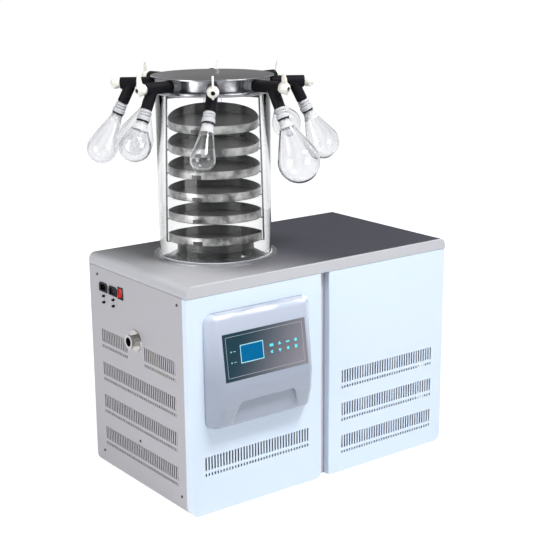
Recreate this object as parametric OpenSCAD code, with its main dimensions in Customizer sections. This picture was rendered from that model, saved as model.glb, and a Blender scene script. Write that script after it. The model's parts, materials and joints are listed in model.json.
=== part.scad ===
// Bench-top pilot freeze dryer: a refrigerated cabinet with a clear drying
// chamber, a tray rack and a ring manifold that carries eight flask valves.
// Frame: X along the front, Y towards the back, Z up; the origin is the centre
// of the cabinet's underside.

/* [Cabinet] */
// Overall width of the cabinet
cab_w = 860; // [820:10:1000]
// Overall depth of the cabinet, front panels included
cab_d = 475; // [460:5:560]
// Height of the worktop above the floor
cab_h = 600; // [590:5:700]
// Height of the top cover's rim
rim_h = 30; // [26:1:40]
// Radius of the rolled side edges of the top cover
roll_r = 20; // [10:1:24]
// Radius of the front and back edges of the top cover
lip_r = 3; // [2:0.5:5]
// Radius of the rounded lower corners
foot_r = 25; // [18:1:32]
// Sheet thickness of the covers and panels
sheet = 1.5; // [1:0.1:2]
// Thickness of the frame's folded steel
frame_t = 2; // [1.5:0.1:3]
// Depth of the front panels' folded edges
panel_deep = 20; // [14:1:26]
// Width of the groove between the two front panels
groove_w = 26; // [16:1:36]
// Radius of the front panels' upright edges
edge_r = 3; // [2:0.5:4]
// Gap left at the seams between covers
seam = 1; // [0.5:0.1:2]

/* [Vents] */
// Width of one vent slot
slot_w = 4.5; // [3:0.5:6]
// Distance from one vent slot to the next
slot_pitch = 9; // [8:0.5:10]
// Height of a long vent slot
slot_h = 36; // [20:1:44]
// Height of a short vent slot under a long one
short_h = 8; // [4:1:12]
// Gap between a long slot and the short one below it
slot_gap = 8; // [4:1:12]
// Distance from one row of vents to the next
vent_pitch = 93; // [85:1:100]
// Slots in a row on a front panel
front_slots = 37; // [20:1:39]
// Slots in a row on a side panel
side_slots = 41; // [20:1:43]
// Foot of the long slots in the left front panel's row
vent_left_z = 118; // [80:1:140]
// Foot of the long slots in the right front panel's lowest row
vent_right_z = 68; // [50:1:100]
// Foot of the long slots in a side panel's lowest row
vent_side_z = 85; // [60:1:100]

/* [Control housing] */
// Width of the housing's foot on the front panel
house_w = 326; // [300:2:340]
// Height of the housing's foot on the front panel
house_h = 300; // [290:2:320]
// Depth of the housing's upper edge below the worktop
house_drop = 75; // [60:1:90]
// Width of the housing's front face
face_w = 296; // [276:2:300]
// Wall of the moulded housing
house_wall = 2.5; // [2:0.1:3.5]
// Width of the control fascia
fascia_w = 256; // [240:2:260]
// Height of the control fascia
fascia_h = 120; // [100:1:130]
// Width of the display window
lcd_w = 66; // [50:1:76]
// Height of the display window
lcd_h = 42; // [30:1:50]
// Width of the hand recess at its top
recess_w = 176; // [140:2:190]
// Height of the hand recess
recess_h = 70; // [50:1:80]

/* [Side fittings] */
// Depth of the mains sockets and the rocker switch below the worktop
socket_drop = 82; // [70:1:95]
// Distance of the rear socket behind the cabinet's middle
socket_y = 164; // [150:1:170]
// Distance between the two sockets
socket_pitch = 50; // [46:1:56]
// Distance of the rocker switch behind the cabinet's middle
rocker_y = 75; // [68:1:78]
// Travel of the rocker switch in degrees
rocker_travel = 14; // [8:1:16]
// Depth of the vacuum port's axis below the worktop
port_drop = 191; // [185:1:200]
// Bore radius of the vacuum port
port_bore = 12; // [8:0.5:13]
// How far the vacuum port stands out of the side panel
port_out = 22; // [18:1:35]

/* [Chamber] */
// Place of the chamber's axis along the width
chamber_x = -170; // [-180:5:-150]
// Place of the chamber's axis along the depth
chamber_y = 15; // [0:5:20]
// Turn of the manifold and the rack about the chamber's axis in degrees
chamber_turn = 34; // [0:1:45]
// Outer radius of the clear cylinder
cyl_r = 148; // [146:0.5:149]
// Wall of the clear cylinder
cyl_wall = 8; // [6:0.5:9]
// Height of the clear cylinder
cyl_h = 418; // [415:1:460]
// Thickness of a seal ring
seal_t = 3; // [2:0.5:5]
// Radius of the trap's top flange
flange_r = 162.5; // [160:0.5:170]
// Thickness of the trap's top flange
flange_t = 6; // [4:0.5:8]
// Radius of a drying tray
tray_r = 120; // [110:1:122]
// Height of a drying tray's rim
tray_h = 22; // [16:1:30]
// Wall of a drying tray
tray_wall = 1.2; // [1:0.1:2]
// Distance from one tray to the next
tray_pitch = 56.4; // [50:0.2:58]

/* [Manifold] */
// Radius of the manifold's lid plate
lid_r = 158; // [152:1:165]
// Thickness of the manifold's lid plate
lid_t = 4; // [3:0.5:6]
// Radius of the manifold's drum
drum_r = 122; // [116:1:126]
// Height of the manifold's drum between its plates
drum_h = 31; // [30.5:0.5:38]
// Thickness of the manifold's lower flange
rest_t = 6; // [4:0.5:10]
// Outer radius of a rubber valve tube
valve_r = 15; // [13:0.5:15]
// Distance from the chamber's axis to a valve's inner end
valve_in = 148; // [144:1:150]
// Length of a valve's main tube
valve_len = 88; // [84:1:100]
// Distance from a valve's inner end to its branch
branch_at = 59; // [55:1:60]
// Length of the branch from the main tube's axis
branch_len = 55; // [50:1:65]
// Lean of the branch from the vertical in degrees
branch_lean = 26; // [20:1:28]
// Radius of the stem that turns in the valve
stem_r = 8; // [6:0.5:9]
// Radial running clearance of the stem
stem_play = 0.05; // [0.02:0.01:0.09]
// Radius of the white plug's ball
ball_r = 15; // [12:0.5:15]
// Length of the ribbed flask adapter
adapter_len = 28; // [24:1:34]
// Outer diameters of the eight flasks
flask_d = [62, 81, 80, 105, 62, 81, 86, 105];
// Distance from each flask's mouth to the middle of its bulb
flask_reach = [88, 62, 99, 110, 88, 62, 91, 110];
// Wall of a flask
flask_wall = 2; // [1.5:0.1:3]

/* [Refrigeration] */
// Inner radius of the cold trap
trap_r = 138; // [130:1:140]
// Depth of the cold trap below the worktop
trap_deep = 290; // [240:5:300]
// Radius of the evaporator tube
coil_tube_r = 5; // [3:0.5:6]
// Turns of the evaporator coil
coil_turns = 8; // [4:1:8]
// Thickness of the trap's insulation
foam_t = 36; // [20:1:38]
// Radius of the condenser fan's blades
fan_r = 110; // [90:1:115]
// Radius of the fan's shaft
shaft_r = 4; // [3:0.5:6]
// Radial running clearance of the fan's shaft
shaft_play = 0.05; // [0.02:0.01:0.09]

/* [Hidden] */
$fn = 64;

// Room that a cutting shape takes beyond the solid it cuts
over = 1;
// Clearance between pieces that are only laid or pushed together
fit = 0.2;

// Cabinet levels and planes
half_w = cab_w / 2;
half_d = cab_d / 2;
front_y = -half_d;
body_y = front_y + panel_deep;
panel_top = cab_h - rim_h - seam;
panel_w = half_w - groove_w / 2;
panel_mid = groove_w / 2 + panel_w / 2;
inner_corner_r = 15;
small_corner_r = 2;
flange_w = 20;

// Frame: floor plate between the side panels' lower flanges, four posts, rails
floor_half = half_w - foot_r - flange_w - 2;
floor_wall_h = 40;
post_leg = 40;
post_y = body_y + 2 * sheet;
post_top = panel_top - 3;
rail_low = post_top - 20;
rail_top = cab_h - sheet;
rail_reach = half_w - roll_r;
panel_in = half_w - sheet - fit;

// Screws that hold the side and back panels
screw_r = 2;
screw_head_r = 4;
screw_head_h = 2;
screw_len = sheet + frame_t + 4;
screw_y = 195;
screw_z = 46;
screw_spots = [for (y = [-screw_y, screw_y], z = [screw_z, panel_top - 21]) [y, z]];
side_spot = [1, 134];
back_spots = [for (x = [-half_w + 30, half_w - 30], z = [screw_z, panel_top - 21]) [x, z]];

// Control housing: balls that its rounded front is drawn over, each given by
// how far its centre stands out, its height above the lower edge, its radius
house_x = -panel_mid;
house_z = cab_h - house_drop - house_h;
nose = [[9, house_h - 20, 16], [28, 110, 20], [26, 65, 20], [16, 20, 16]];
house_foot_r = 26;
house_foot_t = 3;
face_dx = nose[1][0] - nose[0][0];
face_dz = nose[0][1] - nose[1][1];
face_run = sqrt(face_dx * face_dx + face_dz * face_dz);
fascia_tilt = atan(face_dx / face_dz) + asin((nose[1][2] - nose[0][2]) / face_run);
face_reach = cos(fascia_tilt) * nose[0][0] + sin(fascia_tilt) * nose[0][1] + nose[0][2];
fascia_z = 189;
fascia_out = (face_reach - sin(fascia_tilt) * fascia_z) / cos(fascia_tilt);
fascia_t = 3;
fascia_sink = 1;
fascia_ledge = 5;
lcd_t = 1.6;
lcd_at = [-42, 3];
key_size = [19, 12];
key_pitch = [25.5, 17];
key_rise = 0.6;
keys_at = [56, 0];
led_r = 2.2;
led_at = [-105, 0];
recess_floor = 30;
recess_top = 72;
recess_flare = 24;
recess_corner = 14;

// Side fittings, all given by [distance behind the middle, height]
socket_z = cab_h - socket_drop;
rocker_at = [rocker_y, socket_z + 1.5];
socket_size = [42, 25];
socket_body = [32, 21];
socket_chamfer = 6;
fuse_r = 4;
fuse_drop = [socket_z - 23.5, socket_z - 40.5];
port_z = cab_h - port_drop;
port_at = [chamber_y - 8, port_z];
port_wall = 3;
port_tube_r = port_bore + port_wall;
port_play = 1;
port_lip_r = 19;
port_lip_t = 5;
bezel_r = 29;
bezel_t = 3;

// Rocker switch, about its pivot
rocker_half = 11.6;
rocker_w = 17.6;
rocker_pin_r = 1.5;
rocker_play = 0.05;
rocker_sink = 4;
tub_in = [rocker_half + 1.3, rocker_w / 2 + 0.5];
tub_wall = 1.2;

// Chamber levels
flange_top = cab_h + flange_t;
cyl_z = flange_top + seal_t;
cyl_top = cyl_z + cyl_h;
rest_z = cyl_top + seal_t;
drum_z = rest_z + rest_t;
lid_z = drum_z + drum_h;
port_axis_z = drum_z + drum_h / 2;
seal_in = cyl_r - cyl_wall - 1;
seal_out = cyl_r + 2;
lip_in = 130;
lip_wall = 2;
cone_top_r = 100;
cone_rise = 22;
drain_at = 123;
drain_r = 6;
base_h = 18;
rack_floor_t = 2;
tray_z = flange_top + cone_rise + base_h + rack_floor_t;
column_r = tray_r + 3;
column_t = 4;
column_w = 10;
ledge_t = 2;
ledge_len = 10;
rack_top_h = 8;
rack_gap = 30;
rack_top = tray_z + 6 * tray_pitch + rack_gap / 2;
notch_turn = 22;
notch_size = [26, 10.5];

// Valves: the branch's axis meets the main tube's at valve_in + branch_at
nipple_bore = 5;
nipple_r = 8;
nipple_in = 37;
nipple_collar_r = 14;
branch_r = 14.5;
branch_bore = 9;
stem_len = 22;
knob_gap = 0.5;
vent_r = 5.5;
fin_t = 5;
fin_reach = 34;
fin_tip_r = 5;
swing = [-10, 0, 0, 4, 0, -5, 0, 0];
knob_turn = [0, 0, 45, 0, 30, 0, -45, 15];
adapter_r = 15.5;
adapter_bore = 6;
oring_r = 1.8;
oring_seat = 2 * (oring_r + fit / 2);
neck_r = 14;
neck_len = 16;

// Refrigeration
trap_wall = 1.5;
trap_bottom_r = 30;
coil_steps = 30;
coil_r = (trap_r + trap_wall + coil_tube_r + 1.5 * fit) / cos(180 / coil_steps);
coil_z = port_z + port_tube_r + coil_tube_r + 6;
coil_pitch = (cab_h - 2 * coil_tube_r - 4 - coil_z) / coil_turns;
foam_in = coil_r + coil_tube_r + 1.5 * fit;
can_r = 82;
can_h = 190;
can_dome = 40;
can_lift = 18;
can_foot = 8;
can_base = [190, 120, 3];
can_box = [22, 40, 60];
can_stub = 45;
can_back = 130;
fan_x = panel_mid;
fan_z = 165;
coil_block = [280, 40, 270];
coil_block_y = body_y + 12;
shroud_deep = 45;
fan_y = coil_block_y + coil_block[1] + shroud_deep;
hub_r = 28;
hub_h = 24;
shaft_len = 33;
blades = 5;
motor_r = 38;

// ---- shapes in the plane -------------------------------------------------

// What is cut from a square corner to round it
module corner_cut(r) {
    difference() {
        translate([-over, -over]) square(r + over);
        translate([r, r]) circle(r);
    }
}

// Rectangle from the origin with corner radii [left low, right low, right high, left high]
module plate_2d(w, h, r) {
    difference() {
        square([w, h]);
        if (r[0] > 0) corner_cut(r[0]);
        if (r[1] > 0) translate([w, 0]) mirror([1, 0]) corner_cut(r[1]);
        if (r[2] > 0) translate([w, h]) rotate(180) corner_cut(r[2]);
        if (r[3] > 0) translate([0, h]) mirror([0, 1]) corner_cut(r[3]);
    }
}

// One row of vents, its middle at x = 0 and the feet of the long slots at y = 0;
// slots nearer than clear to the place clear_at are left out
module vent_row_2d(count, clear_at = 0, clear = 0) {
    for (i = [0:count - 1]) {
        u = (i - (count - 1) / 2) * slot_pitch;
        if (abs(u - clear_at) >= clear) {
            translate([u - slot_w / 2, 0]) square([slot_w, slot_h]);
            translate([u - slot_w / 2, -slot_gap - short_h]) square([slot_w, short_h]);
        }
    }
}

// Front view of the cabinet's body, drawn in by inset
module body_2d(inset, height) {
    translate([-half_w + inset, inset])
        plate_2d(cab_w - 2 * inset, height - inset, [foot_r - inset, foot_r - inset, 0, 0]);
}

// Places a drawing in the X-Z plane and extrudes it towards the back from y
module along_y(y, deep) {
    translate([0, y + deep, 0]) rotate([90, 0, 0]) linear_extrude(deep) children();
}

// Places a drawing in the Y-Z plane and extrudes it towards the right from x
module along_x(x, wide) {
    translate([x, 0, 0]) rotate([90, 0, 90]) linear_extrude(wide) children();
}

// A point on the left side panel: local Z points out of it, local X points up
module on_side(at) {
    translate([-half_w, at[0], at[1]]) rotate([0, -90, 0]) children();
}

// ---- cabinet -------------------------------------------------------------

module cover_block(inset, down) {
    base = cab_h - rim_h - down;
    intersection() {
        along_y(-half_d + inset, cab_d - 2 * inset)
            translate([-half_w + inset, base])
                plate_2d(cab_w - 2 * inset, rim_h - inset + down, [0, 0, roll_r - inset, roll_r - inset]);
        along_x(-half_w, cab_w)
            translate([-half_d + inset, base])
                plate_2d(cab_d - 2 * inset, rim_h - inset + down, [0, 0, lip_r - inset, lip_r - inset]);
    }
}

module top_cover() {
    color("slategray") difference() {
        cover_block(0, 0);
        cover_block(sheet, over);
        translate([chamber_x, chamber_y, cab_h - rim_h]) cylinder(r = trap_r + trap_wall + 2, h = rim_h + over);
    }
}

module post(side, back) {
    // an angle: one leg across the corner, one leg behind the side panel
    scale_y = back ? 1 : -1;
    reach = back ? half_d - 2 * sheet - fit : -post_y;
    mirror([side < 0 ? 1 : 0, 0, 0]) mirror([0, scale_y < 0 ? 1 : 0, 0]) {
        translate([floor_half - frame_t, reach - frame_t, foot_r + 2])
            cube([panel_in - floor_half + frame_t, frame_t, post_top - foot_r - 2]);
        translate([panel_in - frame_t, reach - post_leg, foot_r + 2])
            cube([frame_t, post_leg, post_top - foot_r - 2]);
    }
}

module chassis() {
    floor_front = post_y;
    floor_back = half_d - 2 * sheet - fit;
    color("dimgray") difference() {
        union() {
            translate([-floor_half, floor_front, 0])
                cube([2 * floor_half, floor_back - floor_front, frame_t]);
            for (x = [-floor_half, floor_half - frame_t])
                translate([x, floor_front, 0]) cube([frame_t, floor_back - floor_front, floor_wall_h]);
            for (s = [-1, 1], b = [false, true]) post(s, b);
            for (y = [floor_front, floor_back - frame_t])
                translate([-rail_reach, y, rail_low]) cube([2 * rail_reach, frame_t, rail_top - rail_low]);
            for (x = [-rail_reach, rail_reach - frame_t])
                translate([x, floor_front, rail_low])
                    cube([frame_t, floor_back - floor_front, rail_top - rail_low]);
            translate([-groove_w / 2 - 8, floor_front, 0]) cube([groove_w + 16, frame_t, post_top]);
        }
        for (s = screw_spots, side = [-1, 1])
            translate([side * panel_in, s[0], s[1]]) rotate([0, 90, 0])
                cylinder(r = screw_r + fit, h = 4 * frame_t, center = true);
        for (s = back_spots)
            translate([s[0], floor_back, s[1]]) rotate([90, 0, 0])
                cylinder(r = screw_r + fit, h = 4 * frame_t, center = true);
    }
}

// Side panel drawn on the left: flat sheet, rounded foot with a flange, returns
module side_sheet() {
    deep = half_d - body_y;
    along_y(body_y, deep) intersection() {
        difference() {
            body_2d(0, foot_r);
            body_2d(sheet, foot_r + over);
        }
        translate([-half_w, 0]) square([foot_r + flange_w, foot_r]);
    }
    along_x(-half_w, sheet) difference() {
        translate([body_y, foot_r]) square([deep, panel_top - foot_r]);
        children();
    }
    for (y = [body_y, half_d - sheet])
        translate([-half_w, y, foot_r]) cube([15, sheet, panel_top - foot_r]);
}

module side_vents_2d(clear) {
    for (row = [0:3])
        translate([0, vent_side_z + row * vent_pitch])
            vent_row_2d(side_slots, port_at[0], row == 3 ? clear : 0);
}

module screw_holes_2d() {
    for (s = screw_spots) translate(s) circle(screw_r + fit);
}

module left_side_panel() {
    color("silver") side_sheet() {
        side_vents_2d(bezel_r + 10);
        screw_holes_2d();
        translate(side_spot) circle(screw_r + fit);
        translate(port_at) circle(port_tube_r + port_play);
        for (y = [socket_y, socket_y - socket_pitch]) {
            translate([y - socket_body[0] / 2 - fit, socket_z - socket_body[1] / 2 - fit])
                square([socket_body[0] + 2 * fit, socket_body[1] + 2 * fit]);
            for (z = fuse_drop) translate([y - 2, z]) circle(fuse_r - 1 + fit);
        }
        translate([rocker_at[0] - tub_in[1] - tub_wall - fit, rocker_at[1] - tub_in[0] - tub_wall - fit])
            square([2 * (tub_in[1] + tub_wall + fit), 2 * (tub_in[0] + tub_wall + fit)]);
    }
}

module right_side_panel() {
    color("silver") mirror([1, 0, 0]) side_sheet() {
        side_vents_2d(0);
        screw_holes_2d();
    }
}

module back_panel() {
    inset = 2 * sheet;
    color("silver") along_y(half_d - sheet - sheet - fit, sheet) difference() {
        body_2d(inset, panel_top);
        for (s = back_spots) translate(s) circle(screw_r + fit);
    }
}

// Front panel: a pan with rounded corners; the children are cut from its face
module front_pan(x0, radii) {
    inner = [for (r = radii) max(r - sheet, 0.5)];
    intersection() {
        union() {
            along_y(front_y, sheet) difference() {
                translate([x0, 0]) plate_2d(panel_w, panel_top, radii);
                children();
            }
            along_y(front_y, panel_deep) difference() {
                translate([x0, 0]) plate_2d(panel_w, panel_top, radii);
                translate([x0 + sheet, sheet]) plate_2d(panel_w - 2 * sheet, panel_top - 2 * sheet, inner);
            }
        }
        translate([x0, front_y, -over]) linear_extrude(panel_top + 2 * over)
            plate_2d(panel_w, panel_deep + over, [edge_r, edge_r, 0, 0]);
    }
}

module front_panel_left() {
    color("aliceblue")
        front_pan(-half_w, [foot_r, inner_corner_r, small_corner_r, small_corner_r]) {
            translate([house_x, vent_left_z]) vent_row_2d(front_slots);
            translate([house_x - fascia_w / 2 + 25, house_z + fascia_z - 40]) square([fascia_w - 50, 80]);
        }
}

module front_panel_right() {
    color("aliceblue")
        front_pan(groove_w / 2, [small_corner_r, foot_r, small_corner_r, small_corner_r])
            for (row = [0:2])
                translate([panel_mid, vent_right_z + row * vent_pitch]) vent_row_2d(front_slots);
}

module screw() {
    translate([0, 0, -screw_len]) cylinder(r = screw_r, h = screw_len);
    difference() {
        cylinder(r1 = screw_head_r, r2 = screw_head_r - 1, h = screw_head_h);
        for (a = [0, 90]) rotate(a) translate([-2.5, -0.5, screw_head_h - 1]) cube([5, 1, 2]);
    }
}

module panel_screws() {
    color("gray") {
        for (s = screw_spots) {
            on_side(s) screw();
            mirror([1, 0, 0]) on_side(s) screw();
        }
        on_side(side_spot) screw();
        for (s = back_spots)
            translate([s[0], half_d - sheet - fit, s[1]]) rotate([-90, 0, 0]) screw();
    }
}

// ---- control housing -----------------------------------------------------

module house_form(inset) {
    hull() {
        for (b = nose, s = [-1, 1])
            translate([s * (face_w / 2 - b[2]), -b[0], b[1]]) sphere(b[2] - inset, $fn = 32);
        for (s = [-1, 1], z = [house_foot_r, house_h - house_foot_r])
            translate([s * (house_w / 2 - house_foot_r), 0, z]) rotate([90, 0, 0])
                cylinder(r = house_foot_r - inset, h = house_foot_t, $fn = 32);
    }
}

// Hand recess, open at the bottom; grow adds the wall round it
module hand_recess(grow) {
    top_half = recess_w / 2 - recess_corner;
    translate([0, -recess_floor + grow, 0]) rotate([90, 0, 0]) linear_extrude(60) union() {
        polygon([[-top_half, recess_top + grow], [top_half, recess_top + grow],
            [recess_w / 2 + grow, recess_top - recess_corner],
            [recess_w / 2 + recess_flare + grow, recess_top - recess_h - over],
            [-recess_w / 2 - recess_flare - grow, recess_top - recess_h - over],
            [-recess_w / 2 - grow, recess_top - recess_corner]]);
        for (s = [-1, 1])
            translate([s * top_half, recess_top - recess_corner]) circle(recess_corner + grow, $fn = 32);
    }
}

// A place on the sloping face: local X along it, local Y up it, local Z out of it
module on_fascia() {
    translate([0, -fascia_out, fascia_z]) rotate([90 - fascia_tilt, 0, 0]) children();
}

module at_house() {
    translate([house_x, front_y, house_z]) children();
}

module control_housing() {
    seat = fascia_sink + fascia_t;
    color("lightsteelblue") at_house() difference() {
        house_form(0);
        behind_face();
        hand_recess(0);
        difference() {
            house_form(house_wall);
            hand_recess(house_wall);
            on_fascia() translate([-fascia_w / 2 - 8, -fascia_h / 2 - 8, -seat - 3])
                cube([fascia_w + 16, fascia_h + 16, 20]);
        }
        on_fascia() translate([-fascia_w / 2, -fascia_h / 2, -seat])
            cube([fascia_w, fascia_h, 30]);
        on_fascia() translate([-fascia_w / 2 + fascia_ledge, -fascia_h / 2 + fascia_ledge, -seat - 10])
            cube([fascia_w - 2 * fascia_ledge, fascia_h - 2 * fascia_ledge, 30]);
    }
}

// All that lies behind the front panel's face
module behind_face() {
    translate([-house_w, 0, -house_h]) cube([2 * house_w, 2 * house_foot_r, 3 * house_h]);
}

module control_fascia() {
    color([0.24, 0.33, 0.38]) at_house() on_fascia() difference() {
        union() {
            translate([-fascia_w / 2 + fit, -fascia_h / 2 + fit, -fascia_sink - fascia_t])
                cube([fascia_w - 2 * fit, fascia_h - 2 * fit, fascia_t]);
            for (i = [-1.5:1:1.5], j = [-0.5, 0.5])
                translate([keys_at[0] + i * key_pitch[0] - key_size[0] / 2,
                    keys_at[1] + j * key_pitch[1] - key_size[1] / 2, -fascia_sink - key_rise])
                    cube([key_size[0], key_size[1], 2 * key_rise]);
            for (j = [-0.5, 0.5])
                translate([led_at[0], led_at[1] + j * 27, -fascia_sink - key_rise])
                    cylinder(r = led_r, h = 2 * key_rise);
        }
        translate([lcd_at[0] - lcd_w / 2, lcd_at[1] - lcd_h / 2, -fascia_sink - lcd_t])
            cube([lcd_w, lcd_h, 10]);
    }
}

module lcd_window() {
    color("steelblue") at_house() on_fascia()
        translate([lcd_at[0] - lcd_w / 2 + fit, lcd_at[1] - lcd_h / 2 + fit, -fascia_sink - lcd_t])
            cube([lcd_w - 2 * fit, lcd_h - 2 * fit, lcd_t]);
}

// ---- side fittings -------------------------------------------------------

module socket_face_2d(w, h, c) {
    polygon([[-h / 2, -w / 2], [h / 2 - c, -w / 2], [h / 2, -w / 2 + c], [h / 2, w / 2 - c],
        [h / 2 - c, w / 2], [-h / 2, w / 2]]);
}

module power_sockets() {
    color("black") {
        // inlet with three blades
        on_side([socket_y, socket_z]) {
            difference() {
                union() {
                    linear_extrude(2.5) socket_face_2d(socket_size[0], socket_size[1], socket_chamfer);
                    translate([-socket_body[1] / 2, -socket_body[0] / 2, -22])
                        cube([socket_body[1], socket_body[0], 22 + over]);
                }
                translate([0, 0, -14]) linear_extrude(20)
                    socket_face_2d(socket_body[0] - 4, socket_body[1] - 4, socket_chamfer - 2);
            }
            for (p = [[2.5, 0], [-2.5, -7], [-2.5, 7]])
                translate([p[0] - 2, p[1] - 1, -15]) cube([4, 2, 13]);
        }
        // outlet with three slots
        on_side([socket_y - socket_pitch, socket_z]) difference() {
            union() {
                linear_extrude(2.5) socket_face_2d(socket_size[0], socket_size[1], socket_chamfer);
                translate([-socket_body[1] / 2, -socket_body[0] / 2, -22])
                    cube([socket_body[1], socket_body[0], 22 + over]);
            }
            difference() {
                translate([0, 0, -12]) linear_extrude(20)
                    socket_face_2d(socket_body[0] - 3, socket_body[1] - 3, socket_chamfer - 2);
                translate([0, 0, -13]) linear_extrude(12)
                    socket_face_2d(socket_body[0] - 7, socket_body[1] - 7, socket_chamfer - 3);
            }
            for (p = [[2.5, 0], [-2.5, -7], [-2.5, 7]])
                translate([p[0] - 2.2, p[1] - 1.2, -14]) cube([4.4, 2.4, 20]);
        }
    }
}

module rocker_bezel() {
    depth = 18;
    outer = [tub_in[0] + tub_wall, tub_in[1] + tub_wall];
    color("black") on_side(rocker_at) difference() {
        union() {
            translate([-outer[0] - 2.2, -outer[1] - 2.2, 0]) cube([2 * outer[0] + 4.4, 2 * outer[1] + 4.4, 2]);
            translate([-outer[0], -outer[1], -depth]) cube([2 * outer[0], 2 * outer[1], depth + 1]);
        }
        translate([-tub_in[0], -tub_in[1], -depth + tub_wall]) cube([2 * tub_in[0], 2 * tub_in[1], depth + 5]);
        translate([0, 0, -rocker_sink]) rotate([90, 0, 0])
            cylinder(r = rocker_pin_r + rocker_play, h = 4 * tub_in[1], center = true);
    }
}

module rocker() {
    color("red") on_side(rocker_at) translate([0, 0, -rocker_sink]) rotate([0, rocker_travel / 2, 0]) {
        rotate([90, 0, 0]) linear_extrude(rocker_w, center = true)
            polygon([[-rocker_half, -2], [-4, -5], [4, -5], [rocker_half, -2],
                [rocker_half, 6.6], [0, 5], [-rocker_half, 6.6]]);
        rotate([90, 0, 0]) cylinder(r = rocker_pin_r, h = 2 * (tub_in[1] + tub_wall), center = true);
    }
}

module fuse_holders() {
    color("black") for (y = [socket_y, socket_y - socket_pitch], z = fuse_drop)
        on_side([y - 2, z]) difference() {
            union() {
                cylinder(r1 = fuse_r, r2 = fuse_r - 0.8, h = 6);
                translate([0, 0, -20]) cylinder(r = fuse_r - 1, h = 20 + over);
            }
            translate([-fuse_r, -0.8, 5]) cube([2 * fuse_r, 1.6, 2]);
        }
}

// Turned steel port: tube from the trap's wall, flange on the side panel, end lip
module port_bezel() {
    color("gainsboro") difference() {
        on_side(port_at) {
            cylinder(r1 = bezel_r, r2 = bezel_r - 1, h = bezel_t);
            translate([0, 0, -half_w - chamber_x]) cylinder(r = port_tube_r, h = half_w + chamber_x + port_out);
            translate([0, 0, port_out - port_lip_t]) cylinder(r = port_lip_r, h = port_lip_t);
            translate([0, 0, port_out - port_lip_t - 4]) cylinder(r1 = port_tube_r, r2 = port_lip_r, h = 4);
        }
        at_chamber() translate([0, 0, port_z - 2 * port_tube_r])
            cylinder(r = trap_r + trap_wall + 1.5 * fit, h = 4 * port_tube_r);
        on_side(port_at) translate([0, 0, -half_w - chamber_x - over])
            cylinder(r = port_bore, h = half_w + chamber_x + port_out + 2 * over);
    }
}

// ---- refrigeration -------------------------------------------------------

module at_chamber() {
    translate([chamber_x, chamber_y, 0]) children();
}

// Half section of the trap's vessel, drawn in by inset
module vessel_2d(inset) {
    r = trap_r + trap_wall - inset;
    floor_z = cab_h - trap_deep + inset;
    difference() {
        translate([0, floor_z]) square([r, trap_deep + over]);
        translate([r, floor_z]) mirror([1, 0]) corner_cut(trap_bottom_r - inset);
    }
}

module cold_trap() {
    color("gainsboro") difference() {
        at_chamber() rotate_extrude() difference() {
            union() {
                intersection() {
                    vessel_2d(0);
                    square([trap_r + 5, cab_h]);
                }
                translate([0, cab_h]) square([flange_r, flange_t]);
            }
            difference() {
                vessel_2d(trap_wall);
                translate([lip_in, cab_h]) square([flange_r, 2 * flange_t]);
            }
            translate([-over, cab_h - over]) square([lip_in + over, 2 * flange_t]);
        }
        translate([chamber_x, port_at[0], port_z]) rotate([0, -90, 0])
            cylinder(r = port_bore, h = flange_r);
    }
}

// Helical tube: rings of flat-sided sections along the helix
module helix_tube(r, tube, z0, pitch, turns) {
    sides = 8;
    last = turns * coil_steps;
    ring = [for (i = [0:last], j = [0:sides - 1])
        let (a = 360 * i / coil_steps, b = 360 * j / sides)
            [(r + tube * cos(b)) * cos(a), (r + tube * cos(b)) * sin(a),
                z0 + pitch * i / coil_steps + tube * sin(b)]];
    wall = [for (i = [0:last - 1], j = [0:sides - 1])
        let (k = (j + 1) % sides)
            [i * sides + j, i * sides + k, (i + 1) * sides + k, (i + 1) * sides + j]];
    near_cap = [[for (j = [sides - 1:-1:0]) j]];
    far_cap = [[for (j = [0:sides - 1]) last * sides + j]];
    polyhedron(points = ring, faces = concat(wall, near_cap, far_cap));
}

module trap_coil() {
    color("peru") at_chamber() helix_tube(coil_r, coil_tube_r, coil_z, coil_pitch, coil_turns);
}

module trap_insulation() {
    foam_out = foam_in + foam_t;
    bottom = cab_h - trap_deep - foam_t;
    color("khaki") difference() {
        at_chamber() rotate_extrude() difference() {
            translate([0, bottom]) square([foam_out, cab_h - sheet - 4 - bottom]);
            translate([-over, cab_h - trap_deep - fit]) square([foam_in + over, trap_deep + over]);
        }
        translate([chamber_x, port_at[0], port_z]) rotate([0, -90, 0])
            cylinder(r = port_tube_r + fit, h = half_w);
    }
}

module compressor() {
    color("black") translate([fan_x + 5, half_d - can_back, frame_t]) {
        // welded can with domed ends on a skirt, base plate and rubber feet
        rotate_extrude() translate([0, can_lift]) plate_2d(can_r, can_h, [0, can_dome, can_dome, 0]);
        cylinder(r = can_r - can_dome + 8, h = can_lift + 6);
        translate([-can_base[0] / 2, -can_base[1] / 2, can_foot]) cube(can_base);
        for (x = [-1, 1], y = [-1, 1]) translate([x * (can_base[0] / 2 - 15), y * (can_base[1] / 2 - 15), 0]) {
            cylinder(r = 11, h = can_foot);
            cylinder(r = 5, h = can_foot + 8);
        }
        // terminal box and the two pipe stubs
        translate([can_r - 4, -20, can_h / 2]) cube(can_box);
        for (s = [-1, 1]) translate([s * 30, 0, can_lift + can_h - 8]) cylinder(r = 5, h = can_stub);
    }
}

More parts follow.
